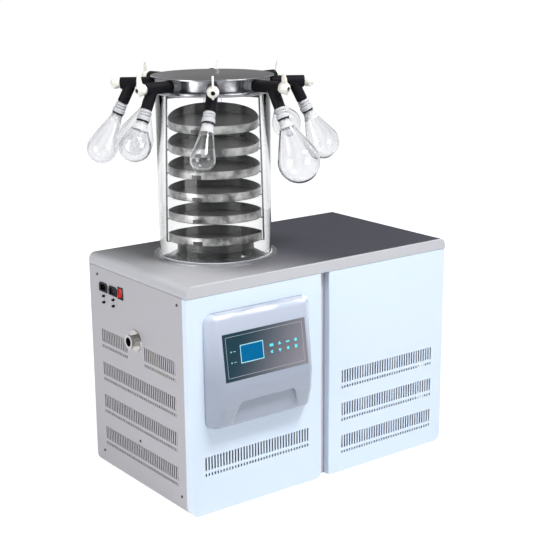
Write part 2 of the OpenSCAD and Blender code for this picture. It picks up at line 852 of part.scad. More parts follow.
module condenser() {
    bw = coil_block[0];
    bh = coil_block[2];
    x0 = fan_x - bw / 2;
    z0 = fan_z - bh / 2;
    fin_pitch = 10;
    color("silver") {
        // finned block, slotted from the front and joined by its tube rows at the back
        difference() {
            translate([x0, coil_block_y, z0]) cube([bw, coil_block[1], bh]);
            for (x = [x0 + 8:fin_pitch:x0 + bw - 12])
                translate([x, coil_block_y - over, z0 + 8]) cube([fin_pitch - 3, coil_block[1] - 8, bh - 16]);
        }
        // shroud with its round mouth
        difference() {
            translate([x0, coil_block_y + coil_block[1] - over, z0]) cube([bw, shroud_deep + over, bh]);
            translate([x0 + 2, coil_block_y + coil_block[1] - 2 * over, z0 + 2])
                cube([bw - 4, shroud_deep, bh - 4]);
            translate([fan_x, fan_y + over, fan_z]) rotate([90, 0, 0]) cylinder(r = fan_r + 6, h = shroud_deep);
        }
        // motor on three arms
        translate([fan_x, fan_y, fan_z]) rotate([-90, 0, 0]) {
            difference() {
                translate([0, 0, 14]) cylinder(r = motor_r, h = 50);
                translate([0, 0, 13]) cylinder(r = shaft_r + shaft_play, h = 30);
            }
            for (a = [90, 210, 330]) rotate(a) {
                translate([motor_r - 3, -5, 16]) cube([fan_r + 14 - motor_r, 10, 3]);
                translate([fan_r + 8, -5, -over]) cube([3, 10, 20]);
            }
        }
        // feet down to the floor plate
        for (x = [x0, x0 + bw - 20]) translate([x, coil_block_y, frame_t])
            cube([20, coil_block[1], z0 - frame_t + over]);
    }
}

module fan_rotor() {
    color("dimgray") translate([fan_x, fan_y, fan_z]) rotate([-90, 0, 0]) {
        translate([0, 0, -hub_h / 2 - 2]) cylinder(r = hub_r, h = hub_h);
        translate([0, 0, 5]) cylinder(r = shaft_r, h = shaft_len);
        for (i = [0:blades - 1]) rotate(i * 360 / blades) intersection() {
            translate([0, 0, -20]) difference() {
                cylinder(r = fan_r, h = 30);
                translate([0, 0, -over]) cylinder(r = hub_r - 4, h = 30 + 2 * over);
            }
            translate([(fan_r + hub_r) / 2, 0, -4]) rotate([28, 0, 0])
                cube([fan_r, 46, 2], center = true);
        }
    }
}

// ---- chamber -------------------------------------------------------------

// Low steel cone that stands on the trap's flange and guides the vapour down
module guide_ring() {
    foot_out = seal_in - 0.5;
    color("gainsboro") at_chamber() translate([0, 0, flange_top]) difference() {
        rotate_extrude()
            polygon([[lip_in + 1, 0], [foot_out, 0], [foot_out, lip_wall], [cone_top_r, cone_rise],
                [cone_top_r - 14, cone_rise], [cone_top_r - 14, cone_rise - lip_wall],
                [cone_top_r - 1, cone_rise - lip_wall]]);
        translate([0, -drain_at, -over]) cylinder(r = drain_r, h = cone_rise + 2 * over);
    }
}

module rack_base() {
    color("black") at_chamber() translate([0, 0, flange_top + cone_rise]) difference() {
        cylinder(r = cone_top_r - 1, h = base_h);
        translate([0, 0, -over]) cylinder(r = cone_top_r - 18, h = base_h + 2 * over);
    }
}

module turned(a) {
    at_chamber() rotate([0, 0, -90 - chamber_turn - a]) children();
}

module tray_rack() {
    floor_z = tray_z - rack_floor_t;
    color("slategray") {
        at_chamber() translate([0, 0, floor_z]) difference() {
            cylinder(r = cone_top_r - 1, h = rack_floor_t);
            translate([0, 0, -over]) cylinder(r = cone_top_r - 16, h = rack_floor_t + 2 * over);
        }
        for (a = [90, 180, 270]) turned(a) {
            translate([cone_top_r - 10, -column_w / 2, floor_z])
                cube([column_r + column_t - cone_top_r + 10, column_w, rack_floor_t]);
            translate([column_r, -column_w / 2, floor_z]) cube([column_t, column_w, rack_top - floor_z]);
            for (i = [1:5]) translate([column_r - ledge_len, -column_w / 2, tray_z + i * tray_pitch - ledge_t])
                cube([ledge_len + over, column_w, ledge_t]);
            translate([-column_t / 2, -column_t / 2, rack_top - rack_top_h])
                cube([column_r + column_t / 2 + over, column_t, rack_top_h]);
        }
    }
}

module tray(i) {
    color("gainsboro") at_chamber() translate([0, 0, tray_z + i * tray_pitch]) difference() {
        union() {
            cylinder(r = tray_r, h = tray_h);
            translate([0, 0, tray_h - 2]) rotate_extrude() translate([tray_r, 1]) circle(0.8, $fn = 16);
        }
        translate([0, 0, tray_wall]) cylinder(r = tray_r - tray_wall, h = tray_h);
        rotate([0, 0, -90 - chamber_turn - notch_turn])
            translate([tray_r - 5, -notch_size[0] / 2, tray_wall]) cube([10, notch_size[0], notch_size[1]]);
    }
}

module chamber_cylinder() {
    color("lightcyan", 0.35) at_chamber() translate([0, 0, cyl_z]) difference() {
        cylinder(r = cyl_r, h = cyl_h);
        translate([0, 0, -over]) cylinder(r = cyl_r - cyl_wall, h = cyl_h + 2 * over);
    }
}

// ---- manifold and valves -------------------------------------------------

// Place of a port: local X points outwards along the port, from the chamber's axis
module at_port(k) {
    turned(45 * k) translate([0, 0, port_axis_z]) children();
}

// A cylinder along local X between two distances
module rod(from, to, r) {
    translate([from, 0, 0]) rotate([0, 90, 0]) cylinder(r = r, h = to - from);
}

module manifold_lid() {
    drum_wall = 3;
    color("gainsboro") difference() {
        at_chamber() {
            translate([0, 0, rest_z]) cylinder(r = seal_out + 4, h = rest_t);
            translate([0, 0, drum_z - over]) cylinder(r = drum_r, h = drum_h + 2 * over);
            translate([0, 0, lid_z]) cylinder(r = lid_r, h = lid_t);
        }
        at_chamber() translate([0, 0, rest_z - over])
            cylinder(r = drum_r - drum_wall, h = rest_t + drum_h + over);
        for (k = [0:7]) at_port(k) rod(drum_r - 10, drum_r + 5, nipple_r + fit / 2);
    }
}

module port_nipples() {
    color("whitesmoke") for (k = [0:7]) at_port(k) difference() {
        union() {
            rod(drum_r - 7, valve_in + nipple_in, nipple_r);
            rod(drum_r + fit, drum_r + 12, nipple_collar_r);
            rod(drum_r + 12 - over, valve_in - fit, nipple_collar_r - 2);
        }
        rod(drum_r - 8, valve_in + nipple_in + over, nipple_bore);
    }
}

// Rubber tee: main tube along local X, branch leaning outwards and down
module branch(from, to, r) {
    translate([valve_in + branch_at, 0, 0]) rotate([0, 180 - branch_lean, 0])
        translate([0, 0, from]) cylinder(r = r, h = to - from);
}

module valve_body(k) {
    out = valve_in + valve_len;
    color([0.1, 0.1, 0.12]) at_port(k) rotate([swing[k], 0, 0]) difference() {
        union() {
            rod(valve_in, out, valve_r);
            branch(0, branch_len, branch_r);
        }
        rod(valve_in - over, valve_in + nipple_in + 1, nipple_r + fit / 2);
        rod(out - stem_len - 2, out + over, stem_r + stem_play);
        rod(valve_in + nipple_in, out - stem_len, nipple_bore);
        branch(0, branch_len + over, adapter_bore);
        branch(branch_len - 20, branch_len + over, branch_bore);
    }
}

// White plug: stem in the valve, ball head with a vent hole, finger fin
module valve_knob(k) {
    face = valve_in + valve_len + knob_gap;
    centre = face + 10;
    color("white") at_port(k) rotate([knob_turn[k], 0, 0]) difference() {
        union() {
            rod(face - knob_gap - stem_len, face + over, stem_r);
            intersection() {
                translate([centre, 0, 0]) sphere(ball_r);
                rod(face, centre + 2 * ball_r, ball_r + over);
            }
            rotate([90, 0, 0]) linear_extrude(fin_t, center = true) union() {
                polygon([[face + 3, 0], [centre + ball_r - 2, 0], [centre + 6 + fin_tip_r, fin_reach],
                    [centre + 6 - fin_tip_r, fin_reach]]);
                translate([centre + 6, fin_reach]) circle(fin_tip_r);
            }
        }
        rod(centre - 2, centre + 2 * ball_r, vent_r);
    }
}

// A place on a port's branch axis, local Z along it away from the valve
module on_branch(k, s) {
    at_port(k) rotate([swing[k], 0, 0]) translate([valve_in + branch_at, 0, 0])
        rotate([0, 180 - branch_lean, 0]) translate([0, 0, s]) children();
}

// Ribbed adapter between the valve and the flask's mouth
module flask_adapters() {
    rib = adapter_len / 4;
    color("lightcyan", 0.5) for (k = [0:7]) on_branch(k, branch_len) difference() {
        union() {
            translate([0, 0, -18]) cylinder(r = branch_bore - fit / 2, h = 19);
            translate([0, 0, fit]) cylinder(r = adapter_r - 2, h = adapter_len - fit);
            for (i = [0:2]) translate([0, 0, (i + 0.5) * rib]) rotate_extrude()
                translate([adapter_r - 2.2, rib / 2]) circle(2.2, $fn = 24);
            translate([0, 0, adapter_len - rib]) cylinder(r = adapter_r + 1, h = rib);
            translate([0, 0, adapter_len - over]) cylinder(r = neck_r - flask_wall - fit, h = 12);
        }
        translate([0, 0, -19]) cylinder(r = adapter_bore, h = adapter_len + 40);
    }
}

module seal_rings() {
    color([0.08, 0.08, 0.08]) {
        for (z = [flange_top, cyl_top]) at_chamber() translate([0, 0, z]) difference() {
            cylinder(r = seal_out, h = seal_t);
            translate([0, 0, -over]) cylinder(r = seal_in, h = seal_t + 2 * over);
        }
        for (k = [0:7]) on_branch(k, branch_len + adapter_len) rotate_extrude()
            translate([neck_r, oring_seat / 2]) circle(oring_r, $fn = 24);
    }
}

// Outer half section of a flask from its mouth down, drawn in by inset
module flask_2d(d, reach, inset) {
    r = d / 2 - inset;
    n = neck_r - inset;
    // tangent from the neck's foot to the bulb's circle
    gap_x = n;
    gap_y = reach - neck_len;
    span = sqrt(gap_x * gap_x + gap_y * gap_y);
    bend = acos(r / span) + atan2(gap_x, gap_y);
    touch = [r * sin(bend), reach - r * cos(bend)];
    intersection() {
        union() {
            translate([0, reach]) circle(r);
            polygon([[0, -inset], [n, -inset], [n, neck_len], touch, [0, reach]]);
        }
        translate([0, -2 * over]) square([d, reach + d]);
    }
}

module flask(k) {
    s = branch_len + adapter_len + oring_seat;
    color("lightcyan", 0.35) on_branch(k, s) rotate_extrude() difference() {
        flask_2d(flask_d[k], flask_reach[k], 0);
        translate([0, 0]) flask_2d(flask_d[k], flask_reach[k], flask_wall);
    }
}

chassis();
top_cover();
left_side_panel();
right_side_panel();
back_panel();
front_panel_left();
front_panel_right();
panel_screws();
control_housing();
control_fascia();
lcd_window();
power_sockets();
rocker_bezel();
rocker();
fuse_holders();
port_bezel();
cold_trap();
trap_coil();
trap_insulation();
compressor();
condenser();
fan_rotor();
guide_ring();
rack_base();
tray_rack();
for (i = [0:5]) tray(i);
chamber_cylinder();
manifold_lid();
port_nipples();
seal_rings();
flask_adapters();
for (k = [0:7]) {
    valve_body(k);
    valve_knob(k);
    flask(k);
}
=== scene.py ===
# %% [markdown]
# # Dressing a freeze dryer
#
# The object is a freeze dryer: a sheet-metal cabinet with a refrigerated trap, a clear drying chamber
# full of trays, and a ring of eight rubber valves that carry glass flasks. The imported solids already
# hold every size and place, so this file only gives them their finish and remodels the pieces whose
# surface has to be smoother than a solid's facets. Read it from top to bottom: each step says what a
# piece is on the real machine, how it could be made, and why one way was picked.

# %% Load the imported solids
import json
import math

import bpy
from mathutils import Matrix, Vector


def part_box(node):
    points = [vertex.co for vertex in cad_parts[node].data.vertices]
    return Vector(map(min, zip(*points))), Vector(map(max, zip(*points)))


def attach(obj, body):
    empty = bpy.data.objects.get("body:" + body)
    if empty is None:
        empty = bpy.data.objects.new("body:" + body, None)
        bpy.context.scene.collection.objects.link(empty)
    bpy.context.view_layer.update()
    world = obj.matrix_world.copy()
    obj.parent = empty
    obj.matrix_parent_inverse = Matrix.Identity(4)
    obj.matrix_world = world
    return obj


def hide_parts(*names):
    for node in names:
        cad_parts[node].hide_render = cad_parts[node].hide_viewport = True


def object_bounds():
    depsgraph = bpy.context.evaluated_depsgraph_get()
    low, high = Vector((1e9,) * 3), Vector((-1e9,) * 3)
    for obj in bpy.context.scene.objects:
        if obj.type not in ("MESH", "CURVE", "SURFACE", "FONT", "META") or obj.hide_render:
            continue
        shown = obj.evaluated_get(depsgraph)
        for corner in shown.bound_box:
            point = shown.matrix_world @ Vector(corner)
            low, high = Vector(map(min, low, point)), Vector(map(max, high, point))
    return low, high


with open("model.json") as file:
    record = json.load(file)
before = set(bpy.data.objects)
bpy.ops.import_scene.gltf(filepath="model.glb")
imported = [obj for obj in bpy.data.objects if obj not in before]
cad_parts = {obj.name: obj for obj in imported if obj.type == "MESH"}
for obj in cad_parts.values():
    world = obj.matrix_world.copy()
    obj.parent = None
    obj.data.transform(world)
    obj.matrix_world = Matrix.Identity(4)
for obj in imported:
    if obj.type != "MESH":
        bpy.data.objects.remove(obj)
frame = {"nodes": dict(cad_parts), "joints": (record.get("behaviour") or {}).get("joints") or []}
nodes = frame["nodes"]
joints = {joint["name"]: joint for joint in frame["joints"]}
cad_low, cad_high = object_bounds()
MM = 0.001
print("solids:", len(nodes), "box in mm:", [round(side / MM) for side in cad_high - cad_low])

# %% [markdown]
# ## The camera
# A machine this tall is shown from a few metres away through a long lens, so that upright edges stay
# nearly upright. The camera stands to the left of the front, looks a little down, and is set by its
# place and three angles, which are easier to read than a target point.

# %% Place the camera
camera_place = Vector((-1.979, -2.653, 1.374))
camera_yaw = math.radians(-37.16)
camera_dip = math.radians(14.79)
camera_roll = math.radians(-0.39)
lens = 80.0

bpy.ops.object.select_all(action="DESELECT")
bpy.ops.object.camera_add(location=camera_place)
camera = bpy.context.object
camera.name = "front_left_camera"
camera.data.lens = lens
camera.data.clip_end = 60.0
camera.rotation_mode = "QUATERNION"
turn = Matrix.Rotation(camera_yaw, 3, "Z") @ Matrix.Rotation(math.radians(90) - camera_dip, 3, "X")
camera.rotation_quaternion = (turn @ Matrix.Rotation(camera_roll, 3, "Z")).to_quaternion()
bpy.context.scene.camera = camera
print("camera", [round(value, 3) for value in camera_place])

# %% [markdown]
# ## The studio
# The machine stands on a pale floor in front of a white surround. A key light high in front throws a
# soft shadow under the control housing, a lower one fills the doors, and a third on the left keeps
# the side panel a step darker than the front.
#
# The surround is white for the camera and through glass. For the light it sheds on paint it is much
# weaker, so the pale front doesn't burn out. Polished steel shows only what stands round it, and an
# all-white room would leave it flat, so in reflections the surround has upright dark bands, like the
# black flags that are set up beside chrome in a studio.

# %% Build the floor and the lights
floor_size = 90.0
floor_level = -0.0005
bpy.ops.mesh.primitive_plane_add(size=floor_size, location=(0, 0, floor_level))
floor = bpy.context.object
floor.name = "studio_floor"


def add_softbox(name, place, target, width, height, watts):
    """A rectangular soft light that shines from place at target."""
    bpy.ops.object.light_add(type="AREA", location=place)
    light = bpy.context.object
    light.name = name
    light.data.shape = "RECTANGLE"
    light.data.size = width
    light.data.size_y = height
    light.data.energy = watts
    light.rotation_mode = "QUATERNION"
    light.rotation_quaternion = (target - light.location).to_track_quat("-Z", "Y")


middle = (cad_low + cad_high) / 2
add_softbox("key_softbox", (0.5, -1.7, 3.5), middle, 1.5, 0.8, 122.0)
add_softbox("front_softbox", (0.3, -3.9, 1.2), middle, 2.0, 1.4, 22.0)
add_softbox("left_softbox", (-3.6, -0.4, 0.95), middle, 1.6, 1.9, 60.0)

# %% Shade the surround
def new_tree(owner):
    """Turn on nodes for a material or world and empty its tree."""
    owner.use_nodes = True
    owner.node_tree.nodes.clear()
    return owner.node_tree


def add(tree, kind, inputs=None, **settings):
    """Add a shader node, set its properties, then fill its inputs, named or numbered.

    An input gets a value, or a link from a socket or from the first output of a node.
    """
    made = tree.nodes.new("ShaderNode" + kind)
    for name, value in settings.items():
        setattr(made, name, value)
    for name, value in (inputs or {}).items():
        if isinstance(value, bpy.types.Node):
            value = value.outputs[0]
        if isinstance(value, bpy.types.NodeSocket):
            tree.links.new(value, made.inputs[name])
        else:
            made.inputs[name].default_value = value
    return made


def calc(tree, operation, *terms):
    """A sum on values and links."""
    return add(tree, "Math", dict(enumerate(terms)), operation=operation)


white = (1.0, 1.0, 1.0, 1)
flag_count = 5
flag_turn = 0.6
world = bpy.data.worlds.new("studio_surround")
bpy.context.scene.world = world
tree = new_tree(world)
ray = add(tree, "LightPath").outputs
look = add(tree, "TexCoord").outputs["Generated"]
split = add(tree, "SeparateXYZ", {0: look}).outputs
azimuth = calc(tree, "ARCTAN2", split["Y"], split["X"])
wave = calc(tree, "SINE", calc(tree, "MULTIPLY_ADD", azimuth, flag_count, flag_turn))
bands = {"Value": wave, "From Min": -0.5, "From Max": 0.5, "To Min": 0.2, "To Max": 1.15}
flags = add(tree, "MapRange", bands, interpolation_type="SMOOTHSTEP")
shed = add(tree, "Background", {"Color": (0.93, 0.96, 1.0, 1), "Strength": 0.22})
mirrored = add(tree, "Background", {"Color": white, "Strength": flags})
shown = add(tree, "Background", {"Color": white, "Strength": 1.0})
once_mirrored = calc(tree, "MINIMUM", ray["Glossy Depth"], 1.0)
once_scattered = calc(tree, "MINIMUM", ray["Diffuse Depth"], 1.0)
clear_view = add(tree, "MixShader", {0: once_mirrored, 1: shown, 2: mirrored})
any_view = add(tree, "MixShader", {0: once_scattered, 1: clear_view, 2: shed})
add(tree, "OutputWorld", {0: any_view})
bpy.context.scene.view_settings.view_transform = "Standard"
print("dark bands in the surround:", flag_count)

# %% Paint the floor
floor_paint = bpy.data.materials.new("pale_floor")
tree = new_tree(floor_paint)
ray = add(tree, "LightPath").outputs
seen = calc(tree, "MAXIMUM", ray["Is Camera Ray"], ray["Is Glossy Ray"])
seen_or_through = calc(tree, "MAXIMUM", seen, ray["Is Transmission Ray"])
matt = add(tree, "BsdfDiffuse", {"Color": (0.62, 0.62, 0.63, 1)})
glow = add(tree, "Emission", {"Color": white, "Strength": 0.84})
both = add(tree, "AddShader", {0: matt, 1: glow})
choice = add(tree, "MixShader", {0: seen_or_through, 1: matt, 2: both})
add(tree, "OutputMaterial", {0: choice})
floor.data.materials.append(floor_paint)
print("floor paint:", len(tree.nodes), "nodes")

# %% [markdown]
# ## Effects that several finishes share
# Real surfaces are never one flat value. Sprayed paint has a faint orange peel, plastic has a cloudy
# tone, and steel carries the fine lines of the tool or belt that finished it. Each of these is built
# once as a node group with its own inputs, so that every finish can use it with its own values. A
# further group gives broad streaks, a painted reflection for polished steel. The groups only give
# tones and normals: the shader itself stays in each material.

# %% Build the groups
def new_group(name, inputs, outputs):
    """A shader group and its two ends. Vector and Normal are vectors, the other sockets floats."""
    group = bpy.data.node_groups.new(name, "ShaderNodeTree")
    sockets = [("INPUT", label) for label in inputs] + [("OUTPUT", label) for label in outputs]
    for way, label in sockets:
        kind = "NodeSocketVector" if label in ("Vector", "Normal") else "NodeSocketFloat"
        socket = group.interface.new_socket(name=label, in_out=way, socket_type=kind)
        if inputs.get(label) is not None:
            socket.default_value = inputs[label]
    return group, group.nodes.new("NodeGroupInput").outputs, group.nodes.new("NodeGroupOutput").inputs


def end_group(group, leave, tone, height, depth, distance):
    """Let a group give a tone, and the normal of a bump with a height, a depth and a distance."""
    bump = add(group, "Bump", {"Strength": depth, "Distance": distance, "Height": height})
    group.links.new(tone.outputs[0], leave["Tone"])
    group.links.new(bump.outputs[0], leave["Normal"])
    return group


def build_peel_group():
    """Sprayed skin: a fine bump and a cloudy tone between 0 and 1."""
    sizes = {"Vector": None, "Bump Size": 700.0, "Depth": 0.15}
    group, enter, leave = new_group("sprayed_skin", sizes, ["Tone", "Normal"])
    place = enter["Vector"]
    cloud = add(group, "TexNoise", {"Vector": place, "Scale": 5.0, "Detail": 3.0})
    skin = add(group, "TexNoise", {"Vector": place, "Scale": enter["Bump Size"], "Detail": 2.0})
    return end_group(group, leave, cloud, skin, enter["Depth"], 0.0003)


def run_round(group, place):
    """Coordinates in which noise runs into rings round Z, as a lathe or a spinning pad leaves them."""
    split = add(group, "SeparateXYZ", {0: place}).outputs
    squares = [calc(group, "MULTIPLY", split[axis], split[axis]) for axis in "XY"]
    radius = calc(group, "SQRT", calc(group, "ADD", *squares))
    slow_angle = calc(group, "MULTIPLY", calc(group, "ARCTAN2", split["Y"], split["X"]), 0.004)
    return add(group, "CombineXYZ", {"X": radius, "Y": split["Z"], "Z": slow_angle})


def run_along(group, place):
    """Coordinates in which noise runs into straight lines along Z, as on cold-rolled strip."""
    return add(group, "Mapping", {"Vector": place, "Scale": (1.0, 1.0, 0.02)})


def build_line_group(name, run, fineness):
    """Fine lines, as a tone and a bump, that run the way the coordinates do."""
    sizes = {"Vector": None, "Fineness": fineness, "Depth": 0.2}
    group, enter, leave = new_group(name, sizes, ["Tone", "Normal"])
    strokes = {"Vector": run(group, enter["Vector"]), "Scale": enter["Fineness"]}
    lines = add(group, "TexNoise", {**strokes, "Detail": 4.0, "Roughness": 0.6})
    return end_group(group, leave, lines, lines, enter["Depth"], 0.0002)


def build_reflection_streak_group():
    """Broad soft streaks round an axis, between 0 and 1: a painted reflection for polished steel."""
    group, enter, leave = new_group("painted_reflection_streaks", {"Vector": None, "Count": 2.4}, ["Tone"])
    plan = add(group, "Mapping", {"Vector": enter["Vector"], "Scale": (1.0, 1.0, 0.0)})
    around = add(group, "VectorMath", {0: plan}, operation="NORMALIZE")
    height = add(group, "Mapping", {"Vector": enter["Vector"], "Scale": (0.0, 0.0, 9.0)})
    spot = add(group, "VectorMath", {0: around, 1: height}, operation="ADD")
    soft = {"Vector": spot, "Scale": enter["Count"], "Detail": 3.0, "Roughness": 0.62}
    cloud = add(group, "TexNoise", soft)
    harder = add(group, "MapRange", {"Value": cloud, "From Min": 0.36, "From Max": 0.64})
    group.links.new(harder.outputs[0], leave["Tone"])
    return group


effects = {
    "sprayed": build_peel_group(),
    "turned": build_line_group("turned_lines", run_round, 900.0),
    "drawn": build_line_group("drawn_lines", run_along, 1200.0),
}
reflection_streaks = build_reflection_streak_group()
print("groups:", [group.name for group in effects.values()], reflection_streaks.name)

# %% [markdown]
# ## One function for every finish
# Each finish starts from the same few parts: object coordinates, measured from the chamber's axis
# where lines run round it, one shared effect, a colour that swings a little with the effect's tone,
# and a roughness that does the same. What is the same all over a surface is set on the shader itself.
# Further colours are then laid over it, each by a share between 0 and 1.

# %% Build a finish
def box_of(name):
    """A solid's lowest and highest corners, and its middle on the floor plane."""
    low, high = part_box(name)
    return low, high, Vector(((low.x + high.x) / 2, (low.y + high.y) / 2, 0))


tube_low, tube_high, chamber_axis = box_of("chamber_cylinder")
print("chamber axis in mm:", [round(value / MM, 1) for value in chamber_axis])
finishes = {}


def place_from(tree, centre):
    """Object coordinates measured from a centre."""
    place = add(tree, "TexCoord").outputs["Object"]
    return add(tree, "Mapping", {"Vector": place, "Location": tuple(-value for value in centre)})


def new_finish(name, colour, swing, rough, values, shader, effect="sprayed"):
    """A material whose colour and roughness follow an effect's tone.

    values go to the effect's inputs and shader to the shader's own sockets.
    """
    finishes[name] = bpy.data.materials.new(name)
    tree = new_tree(finishes[name])
    place = place_from(tree, chamber_axis if effect == "turned" else (0, 0, 0))
    skin = add(tree, "Group", {"Vector": place, **values}, node_tree=effects[effect]).outputs
    dark = tuple(channel * (1 - swing) for channel in colour)
    light = tuple(min(1.0, channel * (1 + swing)) for channel in colour)
    swung = {0: skin["Tone"], 6: (*dark, 1), 7: (*light, 1)}
    tone = add(tree, "Mix", swung, data_type="RGBA")
    spread = {"Value": skin["Tone"], "To Min": rough[0], "To Max": rough[1]}
    roughness = add(tree, "MapRange", spread)
    looks = {"Base Color": tone.outputs[2], "Roughness": roughness, "Normal": skin["Normal"]}
    body = add(tree, "BsdfPrincipled", {**shader, **looks}, name="body")
    add(tree, "OutputMaterial", {0: body})


# %% Lay further colours over a finish
def blend_in(name, colour, factor):
    """Mix one more colour over a finish, by a share that runs from 0 to 1."""
    tree = finishes[name].node_tree
    base = tree.nodes["body"].inputs["Base Color"]
    layers = {0: factor, 6: base.links[0].from_socket, 7: (*colour, 1)}
    over = add(tree, "Mix", layers, data_type="RGBA")
    tree.links.new(over.outputs[2], base)


def slope_share(tree, none, full):
    """A share by how far a face looks up: none and full are heights of its normal."""
    normal = add(tree, "NewGeometry").outputs["Normal"]
    height = add(tree, "SeparateXYZ", {0: normal}).outputs["Z"]
    return add(tree, "MapRange", {"Value": height, "From Min": none, "From Max": full})


def paint_by_slope(name, colour, none=0.96, full=0.55):
    """Lay a second colour by how far a face looks up."""
    blend_in(name, colour, slope_share(finishes[name].node_tree, none, full))


def add_glints(name, colour, none, full):
    """Lay patchy pale glints on the faces that look up at the lights."""
    tree = finishes[name].node_tree
    place = add(tree, "TexCoord").outputs["Object"]
    stretch = add(tree, "Mapping", {"Vector": place, "Scale": (7.0, 30.0, 30.0)})
    cloud = add(tree, "TexNoise", {"Vector": stretch, "Scale": 1.0, "Detail": 2.0})
    patch = add(tree, "MapRange", {"Value": cloud, "From Min": 0.48, "From Max": 0.58})
    blend_in(name, colour, calc(tree, "MULTIPLY", patch, slope_share(tree, none, full)))


def fade_along(name, colour, start, end):
    """Run a finish into a second colour between two points: painted shade on worktop and housing, a tone
    change on the fascia.
    """
    tree = finishes[name].node_tree
    run = Vector(end) - Vector(start)
    rate = {0: place_from(tree, start), 1: run / run.length_squared}
    along = add(tree, "VectorMath", rate, operation="DOT_PRODUCT").outputs["Value"]
    blend_in(name, colour, add(tree, "MapRange", {"Value": along}, interpolation_type="SMOOTHSTEP"))


def paint_edge_shade(name, colour):
    """Paint clear walls darker where they are seen edge on: painted shade for the dark rims of thick glass
    and acrylic.
    """
    tree = finishes[name].node_tree
    slant = add(tree, "LayerWeight", {"Blend": 0.5}).outputs["Facing"]
    blend_in(name, colour, add(tree, "MapRange", {"Value": slant, "From Min": 0.5}))


def paint_reflection_streaks(name, colour, count):
    """Paint broad streaks of a second colour round the chamber's axis on upright faces, as a painted
    reflection.
    """
    tree = finishes[name].node_tree
    flow = {"Vector": place_from(tree, chamber_axis), "Count": count}
    shine = add(tree, "Group", flow, node_tree=reflection_streaks)
    blend_in(name, colour, calc(tree, "MULTIPLY", shine, slope_share(tree, 0.8, 0.4)))


def paint_inside_shade(name, colour):
    """Paint shade on the faces that look towards the chamber's axis, as falls inside a deep tray."""
    tree = finishes[name].node_tree
    flatten = {0: place_from(tree, chamber_axis), 1: (1.0, 1.0, 0.0)}
    plan = add(tree, "VectorMath", flatten, operation="MULTIPLY")
    away = add(tree, "VectorMath", {0: plan}, operation="NORMALIZE")
    pair = {0: away, 1: add(tree, "NewGeometry").outputs["Normal"]}
    facing = add(tree, "VectorMath", pair, operation="DOT_PRODUCT").outputs["Value"]
    inwards = {"Value": facing, "From Min": 0.3, "From Max": -0.5}
    blend_in(name, colour, add(tree, "MapRange", inwards))


# %% [markdown]
# ## Finishes, one for each material of the machine
# The front doors are a pale blue-white enamel with a wet gloss. The worktop and sides are a satin
# grey powder coat. The control housing is moulded in a blue-grey gloss plastic. Inside the chamber
# everything is stainless steel, turned where it is round and drawn where it is strip.

# %% Mix the paints, plastics, metals and glass
metal = {"Metallic": 1.0}
fine = {"Depth": 0.05}
flat = {"Depth": 0.0}


def clear(share, index):
    """Shader values that let light through, by a share and a refractive index."""
    return {"Transmission Weight": share, "IOR": index}


